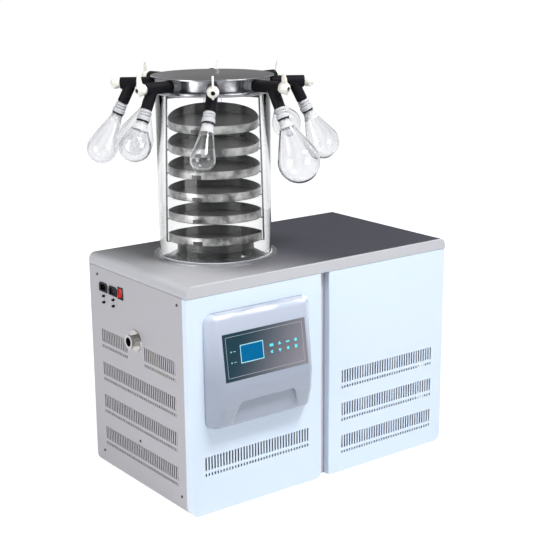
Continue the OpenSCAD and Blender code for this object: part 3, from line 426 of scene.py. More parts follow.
# name: colour, swing, roughness from and to, values for the effect, values for the shader, effect
recipes = {
    "front_enamel": (
        (0.71, 0.83, 0.97), 0.012, (0.16, 0.24), fine,
        {"Coat Weight": 0.4, "Coat Roughness": 0.06},
    ),
    "side_powder": ((0.47, 0.46, 0.49), 0.02, (0.4, 0.5), {"Depth": 0.18}, {}),
    "worktop_powder": ((0.48, 0.48, 0.50), 0.02, (0.5, 0.6), {"Depth": 0.12}, {"Specular IOR Level": 0.22}),
    "frame_grey": ((0.80, 0.74, 0.76), 0.08, (0.4, 0.55), fine, {}, "drawn"),
    "housing_gloss": (
        (0.50, 0.56, 0.68), 0.01, (0.12, 0.18), {"Depth": 0.03},
        {"Coat Weight": 1.0, "Coat Roughness": 0.03},
    ),
    "fascia_film": ((0.010, 0.040, 0.060), 0.04, (0.3, 0.4), fine, {"Specular IOR Level": 0.12}),
    "display_blue": ((0.001, 0.135, 0.32), 0.05, (0.3, 0.36), flat, {"Specular IOR Level": 0.05}),
    "socket_black": ((0.006, 0.006, 0.007), 0.1, (0.4, 0.5), {"Depth": 0.2}, {"Specular IOR Level": 0.15}),
    "switch_red": ((0.70, 0.006, 0.008), 0.03, (0.3, 0.4), {"Depth": 0.03}, {"Specular IOR Level": 0.2}),
    "screw_dark": ((0.10, 0.10, 0.11), 0.1, (0.35, 0.45), {}, metal),
    "bright_steel": ((0.44, 0.43, 0.42), 0.03, (0.12, 0.2), {}, metal),
    "tray_steel": ((0.46, 0.46, 0.45), 0.3, (0.26, 0.42), {}, metal, "turned"),
    "trap_steel": ((0.62, 0.63, 0.65), 0.2, (0.22, 0.34), {}, metal, "turned"),
    "lid_steel": ((0.55, 0.55, 0.57), 0.2, (0.18, 0.3), {}, metal, "turned"),
    "strip_steel": ((0.07, 0.07, 0.075), 0.3, (0.25, 0.4), {}, metal, "drawn"),
    "copper": ((0.78, 0.38, 0.22), 0.1, (0.2, 0.35), {}, metal),
    "fin_aluminium": ((0.6, 0.61, 0.63), 0.12, (0.3, 0.45), {}, metal, "drawn"),
    "yellow_foam": ((0.70, 0.62, 0.38), 0.12, (0.8, 0.95), {"Bump Size": 260.0, "Depth": 0.6}, {}),
    "compressor_black": ((0.012, 0.012, 0.013), 0.1, (0.18, 0.28), {"Depth": 0.08}, {}),
    "fan_plastic": ((0.03, 0.03, 0.032), 0.1, (0.4, 0.5), {}, {}),
    "base_plastic": ((0.012, 0.012, 0.014), 0.1, (0.35, 0.45), {}, {}),
    "black_rubber": (
        (0.006, 0.006, 0.008), 0.2, (0.42, 0.55), {"Bump Size": 900.0, "Depth": 0.1},
        {"Specular IOR Level": 0.1},
    ),
    "pale_silicone": ((0.62, 0.63, 0.66), 0.03, (0.35, 0.45), fine, {}),
    "white_nylon": (
        (0.88, 0.86, 0.79), 0.02, (0.26, 0.34), fine,
        {"Subsurface Weight": 0.1, "Subsurface Scale": 0.004},
    ),
    "clear_acrylic": (
        (0.985, 0.99, 0.99), 0.0, (0.0, 0.02), flat,
        {**clear(1.0, 1.49), "Specular Tint": (0.3, 0.3, 0.3, 1)},
    ),
    "clear_glass": ((0.91, 0.915, 0.925), 0.0, (0.0, 0.02), flat, clear(1.0, 1.47)),
    "ground_glass": ((0.95, 0.95, 0.96), 0.01, (0.45, 0.55), {"Depth": 0.1}, clear(0.5, 1.3)),
    "frosted_plastic": ((0.66, 0.67, 0.69), 0.02, (0.3, 0.4), fine, clear(0.2, 1.45)),
    "clear_moulding": ((0.97, 0.98, 0.99), 0.01, (0.15, 0.25), fine, clear(0.6, 1.3)),
    "print_grey": ((0.42, 0.46, 0.50), 0.02, (0.3, 0.4), {}, {}),
    "print_pale": ((0.36, 0.74, 0.86), 0.02, (0.3, 0.4), {}, {}),
    "print_cyan": ((0.12, 0.78, 0.88), 0.02, (0.3, 0.4), {}, {}),
}
for name, recipe in recipes.items():
    new_finish(name, *recipe)

# painted shade: the worktop's top darkens towards the right and the back, where less light falls
fade_along("worktop_powder", (0.05, 0.05, 0.065), (-0.43, -0.12, 0.6), (0.0, 0.02, 0.6))
# painted light: the cover's upright rim faces are paler than its top, as they catch more light
paint_by_slope("worktop_powder", (0.56, 0.57, 0.60))
house_low, house_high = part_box("control_housing")
# painted shade: the housing darkens from its top down towards the recess
fade_along("housing_gloss", (0.29, 0.335, 0.43), (0, 0, house_high.z), (0, 0, house_low.z + 0.11))
# painted light: the shoulder faces that look up are paler, as if lit from above
paint_by_slope("housing_gloss", (0.56, 0.62, 0.74), 0.3, 0.8)
# painted highlight: patchy white glints on the up-facing shoulder
add_glints("housing_gloss", (0.88, 0.92, 0.98), 0.25, 0.5)
# painted shade: the faces that look straight up are darker, which outlines the housing's top edge
paint_by_slope("housing_gloss", (0.27, 0.30, 0.38), 0.8, 0.98)
film_low, film_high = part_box("control_fascia")
film_corners = (film_low.x + 0.05, 0, film_high.z), (film_high.x + 0.02, 0, film_low.z)
fade_along("fascia_film", (0.26, 0.245, 0.28), *film_corners)
# painted reflection: dark streaks round the trays' upright walls
paint_reflection_streaks("tray_steel", (0.07, 0.07, 0.07), 2.6)
# painted shade: the faces that look into each tray are darker
paint_inside_shade("tray_steel", (0.025, 0.025, 0.027))
# painted shade: the lid's upright drum and rims are darker than its flat faces
paint_by_slope("lid_steel", (0.30, 0.31, 0.33), 0.6, 0.1)
# painted reflection: dark streaks round the lid's upright faces
paint_reflection_streaks("lid_steel", (0.11, 0.11, 0.12), 3.4)
# painted shade: the tube and the flasks turn darker where their walls are seen edge on
paint_edge_shade("clear_acrylic", (0.30, 0.32, 0.36))
paint_edge_shade("clear_glass", (0.24, 0.25, 0.27))
print("finishes:", len(finishes))

# %% [markdown]
# ## Dress the solids that keep their own shape
# Folded sheet, posts, the rack's strips and the machinery have exactly the right form already, so
# they only get a finish, node by node.

# %% Give each solid its finish
ports = range(1, 9)
shelves = range(1, 7)
dress = {
    "front_enamel": ["front_panel_left", "front_panel_right"],
    "side_powder": ["left_side_panel", "right_side_panel", "back_panel"],
    "worktop_powder": ["top_cover"],
    "frame_grey": ["chassis"],
    "housing_gloss": ["control_housing"],
    "fascia_film": ["control_fascia"],
    "display_blue": ["lcd_window"],
    "socket_black": ["power_sockets", "rocker_bezel", "fuse_holders"],
    "switch_red": ["rocker"],
    "screw_dark": ["panel_screws"],
    "bright_steel": ["port_bezel"],
    "trap_steel": ["cold_trap", "guide_ring"],
    "lid_steel": ["manifold_lid"],
    "strip_steel": ["tray_rack"],
    "copper": ["trap_coil"],
    "yellow_foam": ["trap_insulation"],
    "compressor_black": ["compressor"],
    "fin_aluminium": ["condenser"],
    "fan_plastic": ["fan_rotor"],
    "base_plastic": ["rack_base"],
    "black_rubber": ["seal_rings"],
    "clear_acrylic": ["chamber_cylinder"],
    "frosted_plastic": ["port_nipples", "flask_adapters"],
}
dress["tray_steel"] = [f"tray_{number}" for number in shelves]
dress["black_rubber"] += [f"valve_body_{number}" for number in ports]
dress["white_nylon"] = [f"valve_knob_{number}" for number in ports]
dress["clear_glass"] = [f"flask_{number}" for number in ports]
for finish, names in dress.items():
    for name in names:
        nodes[name].data.materials.clear()
        nodes[name].data.materials.append(finishes[finish])
print("dressed:", sum(len(names) for names in dress.values()), "of", len(nodes))

# %% [markdown]
# ## Tools for modelling by hand
# The steps below add a primitive, shape it in edit mode and finish it with modifiers. An operator
# works on whatever is selected, so the selection is dropped before each new piece. A finished piece
# ends with its object at the origin and its place in its mesh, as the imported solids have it.

# %% Small helpers
def drop_selection():
    """Leave edit mode and deselect everything."""
    if bpy.context.object is not None and bpy.context.object.mode != "OBJECT":
        bpy.ops.object.mode_set(mode="OBJECT")
    bpy.ops.object.select_all(action="DESELECT")


def take(piece):
    """Make one piece the only selected and the active one."""
    drop_selection()
    piece.select_set(True)
    bpy.context.view_layer.objects.active = piece


def named(name):
    """Name the piece that an operator has just added."""
    piece = bpy.context.object
    piece.name = name
    piece.data.name = name
    return piece


def set_down(piece, matrix):
    """Move a finished piece to its place and put that place into its mesh."""
    take(piece)
    piece.matrix_world = matrix
    bpy.ops.object.transform_apply(location=True, rotation=True, scale=True)
    return piece


def smooth(piece, degrees=35):
    """Shade a piece smooth, apart from edges sharper than an angle."""
    take(piece)
    bpy.ops.object.shade_smooth_by_angle(angle=math.radians(degrees))
    return piece


def hand_over(piece, finish, body="root", stands_for=()):
    """Give a piece its finish, the body it moves with and the solids it stands for."""
    piece.data.materials.clear()
    piece.data.materials.append(finishes[finish])
    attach(piece, body)
    if stands_for:
        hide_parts(*stands_for)


# %% [markdown]
# ## Spinning, as on a lathe
# Most pieces of the chamber are round. Such a piece is drawn as half of its section, point by point,
# and the spin operator turns that outline round its axis, as a lathe or a spinning tool would. Corners
# are drawn as short arcs, because no real edge is perfectly sharp.

# %% Draw an outline and spin it
def arc(middle_x, middle_z, radius, start, end, steps):
    """Points on an arc in the X-Z plane, from one angle in degrees to another."""
    turns = [math.radians(start + (end - start) * step / steps) for step in range(steps + 1)]
    return [(middle_x + radius * math.cos(turn), middle_z + radius * math.sin(turn)) for turn in turns]


def edge_round(low, high, radius, corners):
    """The corners of a rectangular section, each an arc, anticlockwise from the low inner one."""
    places = [
        (low[0] + radius, low[1] + radius, 180),
        (high[0] - radius, low[1] + radius, 270),
        (high[0] - radius, high[1] - radius, 0),
        (low[0] + radius, high[1] - radius, 90),
    ]
    return [point for x, z, start in places for point in arc(x, z, radius, start, start + 90, corners)]


def select_mesh():
    """Select the whole mesh in edit mode."""
    bpy.ops.mesh.select_all(action="SELECT")


def draw_chain(name, points):
    """A new piece in edit mode that is only a chain of edges from point to point."""
    drop_selection()
    bpy.ops.mesh.primitive_plane_add(size=MM)
    piece = named(name)
    bpy.ops.object.mode_set(mode="EDIT")
    select_mesh()
    bpy.ops.mesh.merge(type="CENTER")
    bpy.ops.transform.translate(value=points[0])
    for here, there in zip(points, points[1:]):
        bpy.ops.mesh.extrude_region_move(TRANSFORM_OT_translate={"value": there - here})
    select_mesh()
    return piece


def turn_outwards():
    """Turn all faces of the piece in edit mode outwards and leave edit mode."""
    select_mesh()
    bpy.ops.mesh.normals_make_consistent(inside=False)
    bpy.ops.object.mode_set(mode="OBJECT")


def spin_profile(name, outline, steps, closed=True):
    """Spin an outline of (radius, height) points round Z. An open one starts and ends on the axis."""
    points = [Vector((radius, 0, height)) for radius, height in outline]
    piece = draw_chain(name, points + points[:1] if closed else points)
    bpy.ops.mesh.spin(steps=steps, angle=math.tau, center=(0, 0, 0), axis=(0, 0, 1))
    select_mesh()
    bpy.ops.mesh.remove_doubles(threshold=0.00001)
    bpy.ops.mesh.dissolve_degenerate(threshold=0.000001)
    turn_outwards()
    return piece


# %% [markdown]
# ## The clear cylinder
# The chamber's wall is a thick acrylic tube with polished rims. The solid's facets would show as
# upright streaks in a clear wall, so the tube is spun again with many more steps and small rounded
# rims that catch the light.

# %% Spin the chamber's wall
tube_radius = (tube_high.x - tube_low.x) / 2
tube_wall = 8 * MM
rim = 0.8 * MM
section = edge_round((tube_radius - tube_wall, tube_low.z), (tube_radius, tube_high.z), rim, 3)
tube = spin_profile("clear_tube", section, 160)
set_down(smooth(tube), Matrix.Translation(chamber_axis))
hand_over(tube, "clear_acrylic", stands_for=["chamber_cylinder"])
print("tube radius in mm:", round(tube_radius / MM, 1), "faces:", len(tube.data.polygons))

# %% [markdown]
# ## Cutting and copying
# What repeats on the machine is modelled once. Holes and notches are cut with a second piece by the
# boolean modifier before the piece is copied, and each copy gets its own mesh.

# %% Cut and copy
def apply_modifiers(piece):
    """Apply all modifiers of a piece, first to last."""
    take(piece)
    for modifier in list(piece.modifiers):
        bpy.ops.object.modifier_apply(modifier=modifier.name)


def cut(piece, cutter, operation="DIFFERENCE"):
    """Cut a piece with another one, or join the two. The other one is used up."""
    boolean = piece.modifiers.new("cut", "BOOLEAN")
    boolean.operation = operation
    boolean.solver = "EXACT"
    boolean.object = cutter
    apply_modifiers(piece)
    bpy.data.objects.remove(cutter)


def copy_of(piece, name):
    """A copy of a piece with its own mesh."""
    take(piece)
    bpy.ops.object.duplicate()
    return named(name)


def move(x, y, z):
    """A frame that is moved and not turned."""
    return Matrix.Translation((x, y, z))


def add_block(low, high, matrix=Matrix.Identity(4)):
    """A block between two corners of a frame."""
    low, high = Vector(low), Vector(high)
    drop_selection()
    bpy.ops.mesh.primitive_cube_add(size=1)
    stretch = Matrix.Diagonal((*(high - low), 1))
    return set_down(named("block"), matrix @ Matrix.Translation((low + high) / 2) @ stretch)


# %% [markdown]
# ## Trays
# A tray is pressed from thin sheet: a flat floor, a small bend radius, an upright wall and a rolled
# rim that stiffens it. One is spun from that section and copied to the six shelves. The low notch in
# the wall, which lets a probe's lead through, is cut with a block before copying.

# %% Press one tray and copy it
first_low, first_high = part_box("tray_1")
roll = 1.1 * MM
tray_wall_radius = 120 * MM
sheet = 1.2 * MM
bend = 3.0 * MM
tray_high = first_high.z - first_low.z
outline = [(0.0, 0.0), (tray_wall_radius - bend, 0.0)]
outline += arc(tray_wall_radius - bend, bend, bend, -90, 0, 5)
outline += arc(tray_wall_radius, tray_high - roll, roll, -70, 160, 9)
outline += [(tray_wall_radius - sheet, tray_high - 2 * roll)]
outline += arc(tray_wall_radius - bend, bend, bend - sheet, 0, -90, 4)
outline += [(0.0, sheet)]
tray = spin_profile("tray_pressing", outline, 128, closed=False)
notch_turn = Matrix.Rotation(math.radians(-146), 4, "Z")
notch_low = (tray_wall_radius - 7 * MM, -13 * MM, sheet)
notch_high = (tray_wall_radius + 7 * MM, 13 * MM, sheet + 10.5 * MM)
cut(tray, add_block(notch_low, notch_high, notch_turn))
smooth(tray)
for number in shelves:
    low, high, middle_of_tray = box_of(f"tray_{number}")
    shelf_tray = copy_of(tray, f"pressed_tray_{number}")
    set_down(shelf_tray, move(middle_of_tray.x, middle_of_tray.y, low.z))
    hand_over(shelf_tray, "tray_steel", stands_for=[f"tray_{number}"])
bpy.data.objects.remove(tray)
print("tray height in mm:", round(tray_high / MM, 1))

# %% [markdown]
# ## The manifold's lid
# The lid is a spool: a lower flange that presses on the seal, a drum with eight ports and a top
# plate. All of it is turned steel, so it is spun from one section with slightly broken edges.

# %% Spin the lid
lid_low, lid_high, lid_middle = box_of("manifold_lid")
lid_radius = (lid_high.x - lid_low.x) / 2
drum_radius = 122 * MM
drum_wall = 3 * MM
fillet = 2 * MM
flange_radius = 154 * MM
flange_thick = 6 * MM
plate_thick = 4 * MM
edge = 0.8 * MM
lid_height = lid_high.z - lid_low.z
drum_top = lid_height - plate_thick
outline = [(0.0, drum_top), (drum_radius - drum_wall, drum_top), (drum_radius - drum_wall, 0.0)]
outline += arc(flange_radius - edge, edge, edge, -90, 0, 3)
outline += arc(flange_radius - edge, flange_thick - edge, edge, 0, 90, 3)
outline += arc(drum_radius + fillet, flange_thick + fillet, fillet, 270, 180, 4)
outline += arc(drum_radius + fillet, drum_top - fillet, fillet, 180, 90, 4)
outline += arc(lid_radius - edge, drum_top + edge, edge, -90, 0, 3)
outline += arc(lid_radius - edge, lid_height - edge, edge, 0, 90, 3)
outline += [(0.0, lid_height)]
lid = spin_profile("steel_lid", outline, 160, closed=False)
set_down(smooth(lid), move(lid_middle.x, lid_middle.y, lid_low.z))
hand_over(lid, "lid_steel", stands_for=["manifold_lid"])
print("lid radius in mm:", round(lid_radius / MM, 1))

# %% [markdown]
# ## Places on the manifold
# Every knob turns about its port, so the knobs' joints already say where each port points. A port's
# own frame has X outwards along the port and Z up. The valve's branch leaves the main tube outwards
# and down, and some valves have been swung a little about their port, as they are left in use.

# %% Work out the ports
valve_start = 148 * MM
valve_length = 88 * MM
branch_at = 59 * MM
branch_length = 55 * MM
branch_lean = math.radians(26)
adapter_length = 28 * MM
ring_seat = 3.8 * MM
branch_root = move(valve_start + branch_at, 0, 0) @ Matrix.Rotation(math.pi - branch_lean, 4, "Y")
outwards = Matrix.Rotation(math.pi / 2, 4, "Y")
# how far each valve has been swung about its port, in degrees
swings = [-10, 0, 0, 4, 0, -5, 0, 0]


def port_frame(number):
    """The frame of a port on the chamber's axis: X outwards along the port, Z up."""
    joint = joints[f"knob_{number}_turn"]
    heading = math.atan2(joint["axis"][1], joint["axis"][0])
    height = joint["pos_m"][2]
    return move(chamber_axis.x, chamber_axis.y, height) @ Matrix.Rotation(heading, 4, "Z")


def swung_frame(number):
    """The port's frame after the valve's swing."""
    return port_frame(number) @ Matrix.Rotation(math.radians(swings[number - 1]), 4, "X")


def branch_frame(number, distance):
    """A frame on a branch's axis, Z along it and away from the valve."""
    return swung_frame(number) @ branch_root @ move(0, 0, distance)


print("ports:", [round(math.degrees(port_frame(number).to_euler().z)) for number in ports])

# %% [markdown]
# ## Rubber valves
# A valve is one rubber moulding: a short main tube that plugs onto the port, and a branch. Moulded
# rubber has a fillet where the two tubes meet and soft rims at its ends. Two tubes are joined, then
# remeshed and smoothed a little, which gives both at once.

# %% Mould one valve and copy it
tube_of_valve = 15 * MM
tube_of_branch = 14.5 * MM
bore_of_valve = 11.2 * MM
bore_depth = 6 * MM


def add_tube(radius, length, matrix, steps=64):
    """A closed cylinder along its frame's Z, from its origin."""
    drop_selection()
    bpy.ops.mesh.primitive_cylinder_add(vertices=steps, radius=radius, depth=length)
    return set_down(named("tube"), matrix @ move(0, 0, length / 2))


def soften(piece, voxel, rounds):
    """Remesh a closed piece in small quads and relax it, which rounds its edges."""
    remesh = piece.modifiers.new("skin", "REMESH")
    remesh.mode = "VOXEL"
    remesh.voxel_size = voxel
    relax = piece.modifiers.new("relax", "SMOOTH")
    relax.factor = 0.5
    relax.iterations = rounds
    apply_modifiers(piece)


rubber = add_tube(tube_of_valve, valve_length, move(valve_start, 0, 0) @ outwards)
cut(rubber, add_tube(tube_of_branch, branch_length, branch_root), "UNION")
soften(rubber, 1.1 * MM, 9)
bore = add_tube(bore_of_valve, bore_depth, move(valve_start - 1 * MM, 0, 0) @ outwards)
cut(rubber, bore)
smooth(rubber, 50)
for number in ports:
    valve = copy_of(rubber, f"rubber_valve_{number}")
    set_down(valve, swung_frame(number))
    hand_over(valve, "black_rubber", stands_for=[f"valve_body_{number}"])
bpy.data.objects.remove(rubber)
print("valve faces:", len(valve.data.polygons))

# %% [markdown]
# ## Valve knobs
# The plug that opens and closes a valve is a white nylon turning: a ball-shaped head with a vent
# hole, a slim finger fin on top and a small nib below, and a stem in the valve. The fin is extruded
# from its outline, joined to the head and softened with a fine remesh. A black cylinder deep in the
# vent is painted shade: it keeps the vent as dark as the real one, which runs on into the valve.

# %% Turn one knob and copy it
head_face = valve_start + valve_length + 0.5 * MM
head_middle = head_face + 10 * MM
head_radius = 15 * MM
fin_thick = 5 * MM
fin_reach = 34 * MM
vent_radius = 5.5 * MM
vent_height = -1.5 * MM
stem_radius = 8 * MM
stem_length = 22 * MM
# how far each knob stands turned, in degrees
knob_turns = [0, 0, 45, 0, 30, 0, -45, 15]
outline = [(0.0, head_face), (13.4 * MM, head_face)]
outline += [(radius, head_middle + height) for radius, height in arc(0, 0, head_radius, -34, 84, 16)]
outline += [(0.0, head_middle + head_radius * 0.995)]
head = spin_profile("knob_pattern", outline, 64, closed=False)
set_down(head, outwards)


def add_plate(name, outline, thick):
    """A flat plate with an outline in the X-Z plane, centred on Y."""
    points = [Vector((x, -thick / 2, z)) for x, z in outline]
    piece = draw_chain(name, points + points[:1])
    bpy.ops.mesh.remove_doubles(threshold=0.00001)
    select_mesh()
    bpy.ops.mesh.edge_face_add()
    bpy.ops.mesh.extrude_region_move(TRANSFORM_OT_translate={"value": (0, thick, 0)})
    turn_outwards()
    return piece


fin_outline = [(head_face + 3 * MM, 4 * MM), (head_middle + 1 * MM, fin_reach)]
fin_outline += arc(head_middle + 6 * MM, fin_reach, 5 * MM, 180, 0, 8)
fin_outline += [(head_middle + head_radius - 2 * MM, 4 * MM)]
cut(head, add_plate("fin", fin_outline, fin_thick), "UNION")
nib_top = -12 * MM
nib_outline = [(head_middle, nib_top), (head_middle + 8 * MM, nib_top), (head_middle + 4 * MM, -18 * MM)]
cut(head, add_plate("nib", nib_outline, fin_thick), "UNION")
soften(head, 0.75 * MM, 4)
vent = add_tube(vent_radius, 30 * MM, move(head_middle - 2 * MM, 0, vent_height) @ outwards, 48)
cut(head, vent)
stem = add_tube(stem_radius, stem_length, move(head_face - stem_length, 0, 0) @ outwards, 48)
cut(head, stem, "UNION")
smooth(head, 50)
# painted shade: a black cylinder deep in each vent hole stands in for the dark of the vent
shade_length = head_radius - 4 * MM
shade = add_tube(vent_radius - 0.1 * MM, shade_length, move(head_middle, 0, vent_height) @ outwards)
for number in ports:
    turned_frame = port_frame(number) @ Matrix.Rotation(math.radians(knob_turns[number - 1]), 4, "X")
    knob = set_down(copy_of(head, f"nylon_knob_{number}"), turned_frame)
    hand_over(knob, "white_nylon", f"knob_{number}", [f"valve_knob_{number}"])
    vent_shade = set_down(copy_of(shade, f"vent_painted_shade_{number}"), turned_frame)
    hand_over(vent_shade, "black_rubber", f"knob_{number}")
for pattern in (head, shade):
    bpy.data.objects.remove(pattern)
print("knob faces:", len(knob.data.polygons))

# %% [markdown]
# ## Adapters, nipples and seals
# The clear ribbed adapter holds the flask on the valve, and a stepped nipple carries the valve on the
# drum. Both are turned, so both are spun. So are the black rings under the adapters and the two pale
# silicone seals of the chamber.

# %% Spin an adapter and a nipple for each port
rib = adapter_length / 4
adapter_bore = 6 * MM
collar = 15.5 * MM
plug_radius = 11.8 * MM
plug_end = adapter_length + 11 * MM
outline = [(adapter_bore, 0.4 * MM), (12.5 * MM, 0.4 * MM)]
for count in range(2):
    outline += arc(12.0 * MM, (count + 0.75) * rib, 3.2 * MM, -84, 84, 8)
outline += arc(collar, adapter_length - 9.0 * MM, 1.0 * MM, -90, 0, 3)
outline += arc(collar, adapter_length - 1.0 * MM, 1.0 * MM, 0, 90, 3)
outline += [(plug_radius, adapter_length), (plug_radius, plug_end), (adapter_bore, plug_end)]
adapter = smooth(spin_profile("adapter_pattern", outline, 64), 40)
ring_section = arc(14 * MM, ring_seat / 2, 1.8 * MM, 0, 330, 11)
ring = smooth(spin_profile("ring_pattern", ring_section, 64), 60)
nipple_start = drum_radius - 4 * MM
nipple_bore = 5 * MM
outline = [(nipple_bore, nipple_start), (8 * MM, nipple_start), (8 * MM, drum_radius + 0.2 * MM)]
outline += arc(13.2 * MM, drum_radius + 1.0 * MM, 0.8 * MM, -90, 0, 3)
outline += arc(13.2 * MM, drum_radius + 11.2 * MM, 0.8 * MM, 0, 90, 3)
outline += [(12 * MM, drum_radius + 12 * MM)]
outline += arc(11.4 * MM, valve_start - 0.8 * MM, 0.6 * MM, 0, 90, 3)
outline += [(nipple_bore, valve_start - 0.2 * MM)]
nipple = smooth(spin_profile("nipple_pattern", outline, 64), 40)
adapters = []
rings = []
nipples = []
for number in ports:
    branch_end = branch_frame(number, branch_length)
    adapters.append(set_down(copy_of(adapter, "adapter"), branch_end))
    rings.append(set_down(copy_of(ring, "mouth_ring"), branch_end @ move(0, 0, adapter_length)))
    nipples.append(set_down(copy_of(nipple, "nipple"), port_frame(number) @ outwards))
for pattern in (adapter, ring, nipple):
    bpy.data.objects.remove(pattern)
seal_radii = (139 * MM, 150 * MM)
seal_thick = 3 * MM
seals = []
for level in (tube_low.z - seal_thick, tube_high.z):
    section = edge_round((seal_radii[0], level), (seal_radii[1], level + seal_thick), 1.0 * MM, 3)
    seals.append(set_down(smooth(spin_profile("seal", section, 160)), Matrix.Translation(lid_middle)))


def join(pieces, name):
    """Join pieces into one object."""
    take(pieces[0])
    for piece in pieces[1:]:
        piece.select_set(True)
    bpy.ops.object.join()
    return named(name)


hand_over(join(adapters, "ribbed_adapters"), "frosted_plastic", "root", ["flask_adapters"])
hand_over(join(nipples, "stepped_nipples"), "clear_moulding", "root", ["port_nipples"])
hand_over(join(rings, "rubber_rings"), "black_rubber", "root", ["seal_rings"])
hand_over(join(seals, "chamber_seals"), "pale_silicone")
print("adapters:", len(adapters), "nipples:", len(nipples), "rings:", len(rings), "seals:", len(seals))

# %% [markdown]
# ## Flasks
# The pear-shaped flasks are blown glass: one even wall from the mouth's bead to the round bulb. The
# section follows the outside down and the inside back up. The cone between neck and bulb leaves the
# bulb's circle as a tangent, which a short sum gives, so any size of flask keeps its smooth shape. The
# neck is ground matt on the outside down to the start of the cone, as a thin skin round the wall.

# %% Blow eight flasks
# each bulb's width, and the depth of its middle below the mouth, in millimetres
bulbs = [62, 81, 80, 105, 62, 81, 86, 105]
reaches = [88, 62, 99, 110, 88, 62, 91, 110]
neck_radius = 14 * MM
neck_length = 16 * MM
glass = 2 * MM


def flask_side(bulb, reach, inset):
    """The outline of one side of a flask's wall, from its mouth down to its foot."""
    radius = bulb - inset
    neck = neck_radius - inset
    drop = reach - neck_length
    span = math.hypot(neck, drop)
    bend_angle = math.acos(radius / span) + math.atan2(neck, drop)
    start = -90 + math.degrees(bend_angle)
    side = [(neck, 0.0), (neck, neck_length * 0.5)]
    side += arc(neck + 14 * MM, neck_length * 0.5, 14 * MM, 180, 172, 2)[1:]
    return side + arc(0, reach, radius, start, 90, 26)


ground_reach = 22 * MM
ground_skin = (0.15 * MM, 0.45 * MM)


def neck_skin(side):
    """A thin ring section that follows a flask's outside from its mouth down to the ground part's end."""
    last = next(place for place, point in enumerate(side) if point[1] > ground_reach)
    above, below = side[last - 1], side[last]
    share = (ground_reach - above[1]) / (below[1] - above[1])
    end = (above[0] + share * (below[0] - above[0]), ground_reach)
    run = [(neck_radius, 1.5 * MM)] + side[1:last] + [end]
    inner_run, outer_run = ([(radius + gap, height) for radius, height in run] for gap in ground_skin)
    return inner_run + outer_run[::-1]


ground_necks = []
for number in ports:
    bulb = bulbs[number - 1] / 2 * MM
    reach = reaches[number - 1] * MM
    outer = flask_side(bulb, reach, 0)
    inner = flask_side(bulb, reach, glass)
    skin = smooth(spin_profile("neck_skin", neck_skin(outer), 72), 60)
    outer[-1] = (0.0, reach + bulb)
    inner[-1] = (0.0, reach + bulb - glass)
    bead = arc(neck_radius - glass / 2, 0.9 * MM, glass / 2 + 0.6 * MM, 360, 180, 8)
    flask = spin_profile(f"glass_flask_{number}", outer[:0:-1] + bead + inner[1:], 72, closed=False)
    smooth(flask, 60)
    flask_place = branch_frame(number, branch_length + adapter_length + ring_seat)
    ground_necks.append(set_down(skin, flask_place))
    set_down(flask, flask_place)
    hand_over(flask, "clear_glass", stands_for=[f"flask_{number}"])
    low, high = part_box(f"flask_{number}")
    drift = max((Vector(flask.bound_box[0]) - low).length, (Vector(flask.bound_box[6]) - high).length)
    print(f"flask {number}: off its solid by {drift / MM:.1f} mm")
hand_over(join(ground_necks, "ground_necks"), "ground_glass")

# %% [markdown]
# ## The control housing
# The housing is one moulded shell: a soft pillow that stands out of the left door, with a sloping face
# for the controls and a hand recess below. Its form is a skin stretched over a few balls and discs.
# They are added and joined, and the convex hull operator stretches the skin. The recess is cut out,
# and a fine remesh with a little smoothing then rounds every edge as moulding does. The pocket for
# the fascia comes last, because its edge is crisp.

# %% Stretch the shell's skin
house_place = move((house_low.x + house_high.x) / 2, house_high.y, house_low.z)
foot_wide = house_high.x - house_low.x
house_tall = house_high.z - house_low.z
face_wide = 296 * MM
foot_radius = 26 * MM
foot_thick = 3 * MM
# each ball's distance out, height and radius in millimetres, from the top down
nose = [(9, 280, 16), (28, 110, 20), (26, 65, 20), (16, 20, 16)]
tip_forward = Matrix.Rotation(-math.pi / 2, 4, "X")


def stretch_shell(name, inset):
    """The housing's closed form, drawn in all round by inset."""
    parts = []
    for out, height, radius in nose:
        for side in (-1, 1):
            spot = move(side * (face_wide / 2 - radius * MM), -out * MM, height * MM)
            drop_selection()
            bpy.ops.mesh.primitive_uv_sphere_add(segments=40, ring_count=20, radius=radius * MM - inset)
            parts.append(set_down(named("ball"), spot))
    for side in (-1, 1):
        for height in (foot_radius, house_tall - foot_radius):
            spot = move(side * (foot_wide / 2 - foot_radius), -foot_thick, height)
            parts.append(add_tube(foot_radius - inset, 2 * foot_thick, spot @ tip_forward, 40))
    shell = join(parts, name)
    bpy.ops.object.mode_set(mode="EDIT")
    select_mesh()
    bpy.ops.mesh.convex_hull()
    turn_outwards()
    return shell


recess_floor = 30 * MM
recess_top = 72 * MM
recess_half = 88 * MM
recess_flare = 24 * MM
recess_corner = 14 * MM


def recess_cutter(grow):
    """The hand recess as a plate with its front outline; grow adds the wall round it."""
    deep = 60 * MM
    corner_height = recess_top - recess_corner
    side = [(recess_half + recess_flare + grow, -3 * MM)]
    side += arc(recess_half - recess_corner, corner_height, recess_corner + grow, 0, 90, 8)
    outline = side + [(-x, z) for x, z in reversed(side)]
    cutter = add_plate("recess", outline, deep)
    return set_down(cutter, move(0, grow - recess_floor - deep / 2, 0))


housing = stretch_shell("housing_skin", 0)
cut(housing, recess_cutter(0))
soften(housing, 1.9 * MM, 7)
cut(housing, add_block((-foot_wide, 0, -house_tall), (foot_wide, 0.1, 2 * house_tall)))
print("shell faces:", len(housing.data.polygons))

# %% [markdown]
# The sloping face touches the top ball and the widest ball, so its slope follows from the two. A frame
# on that face, with X along it, Y up it and Z out of it, places the pocket and all the print.

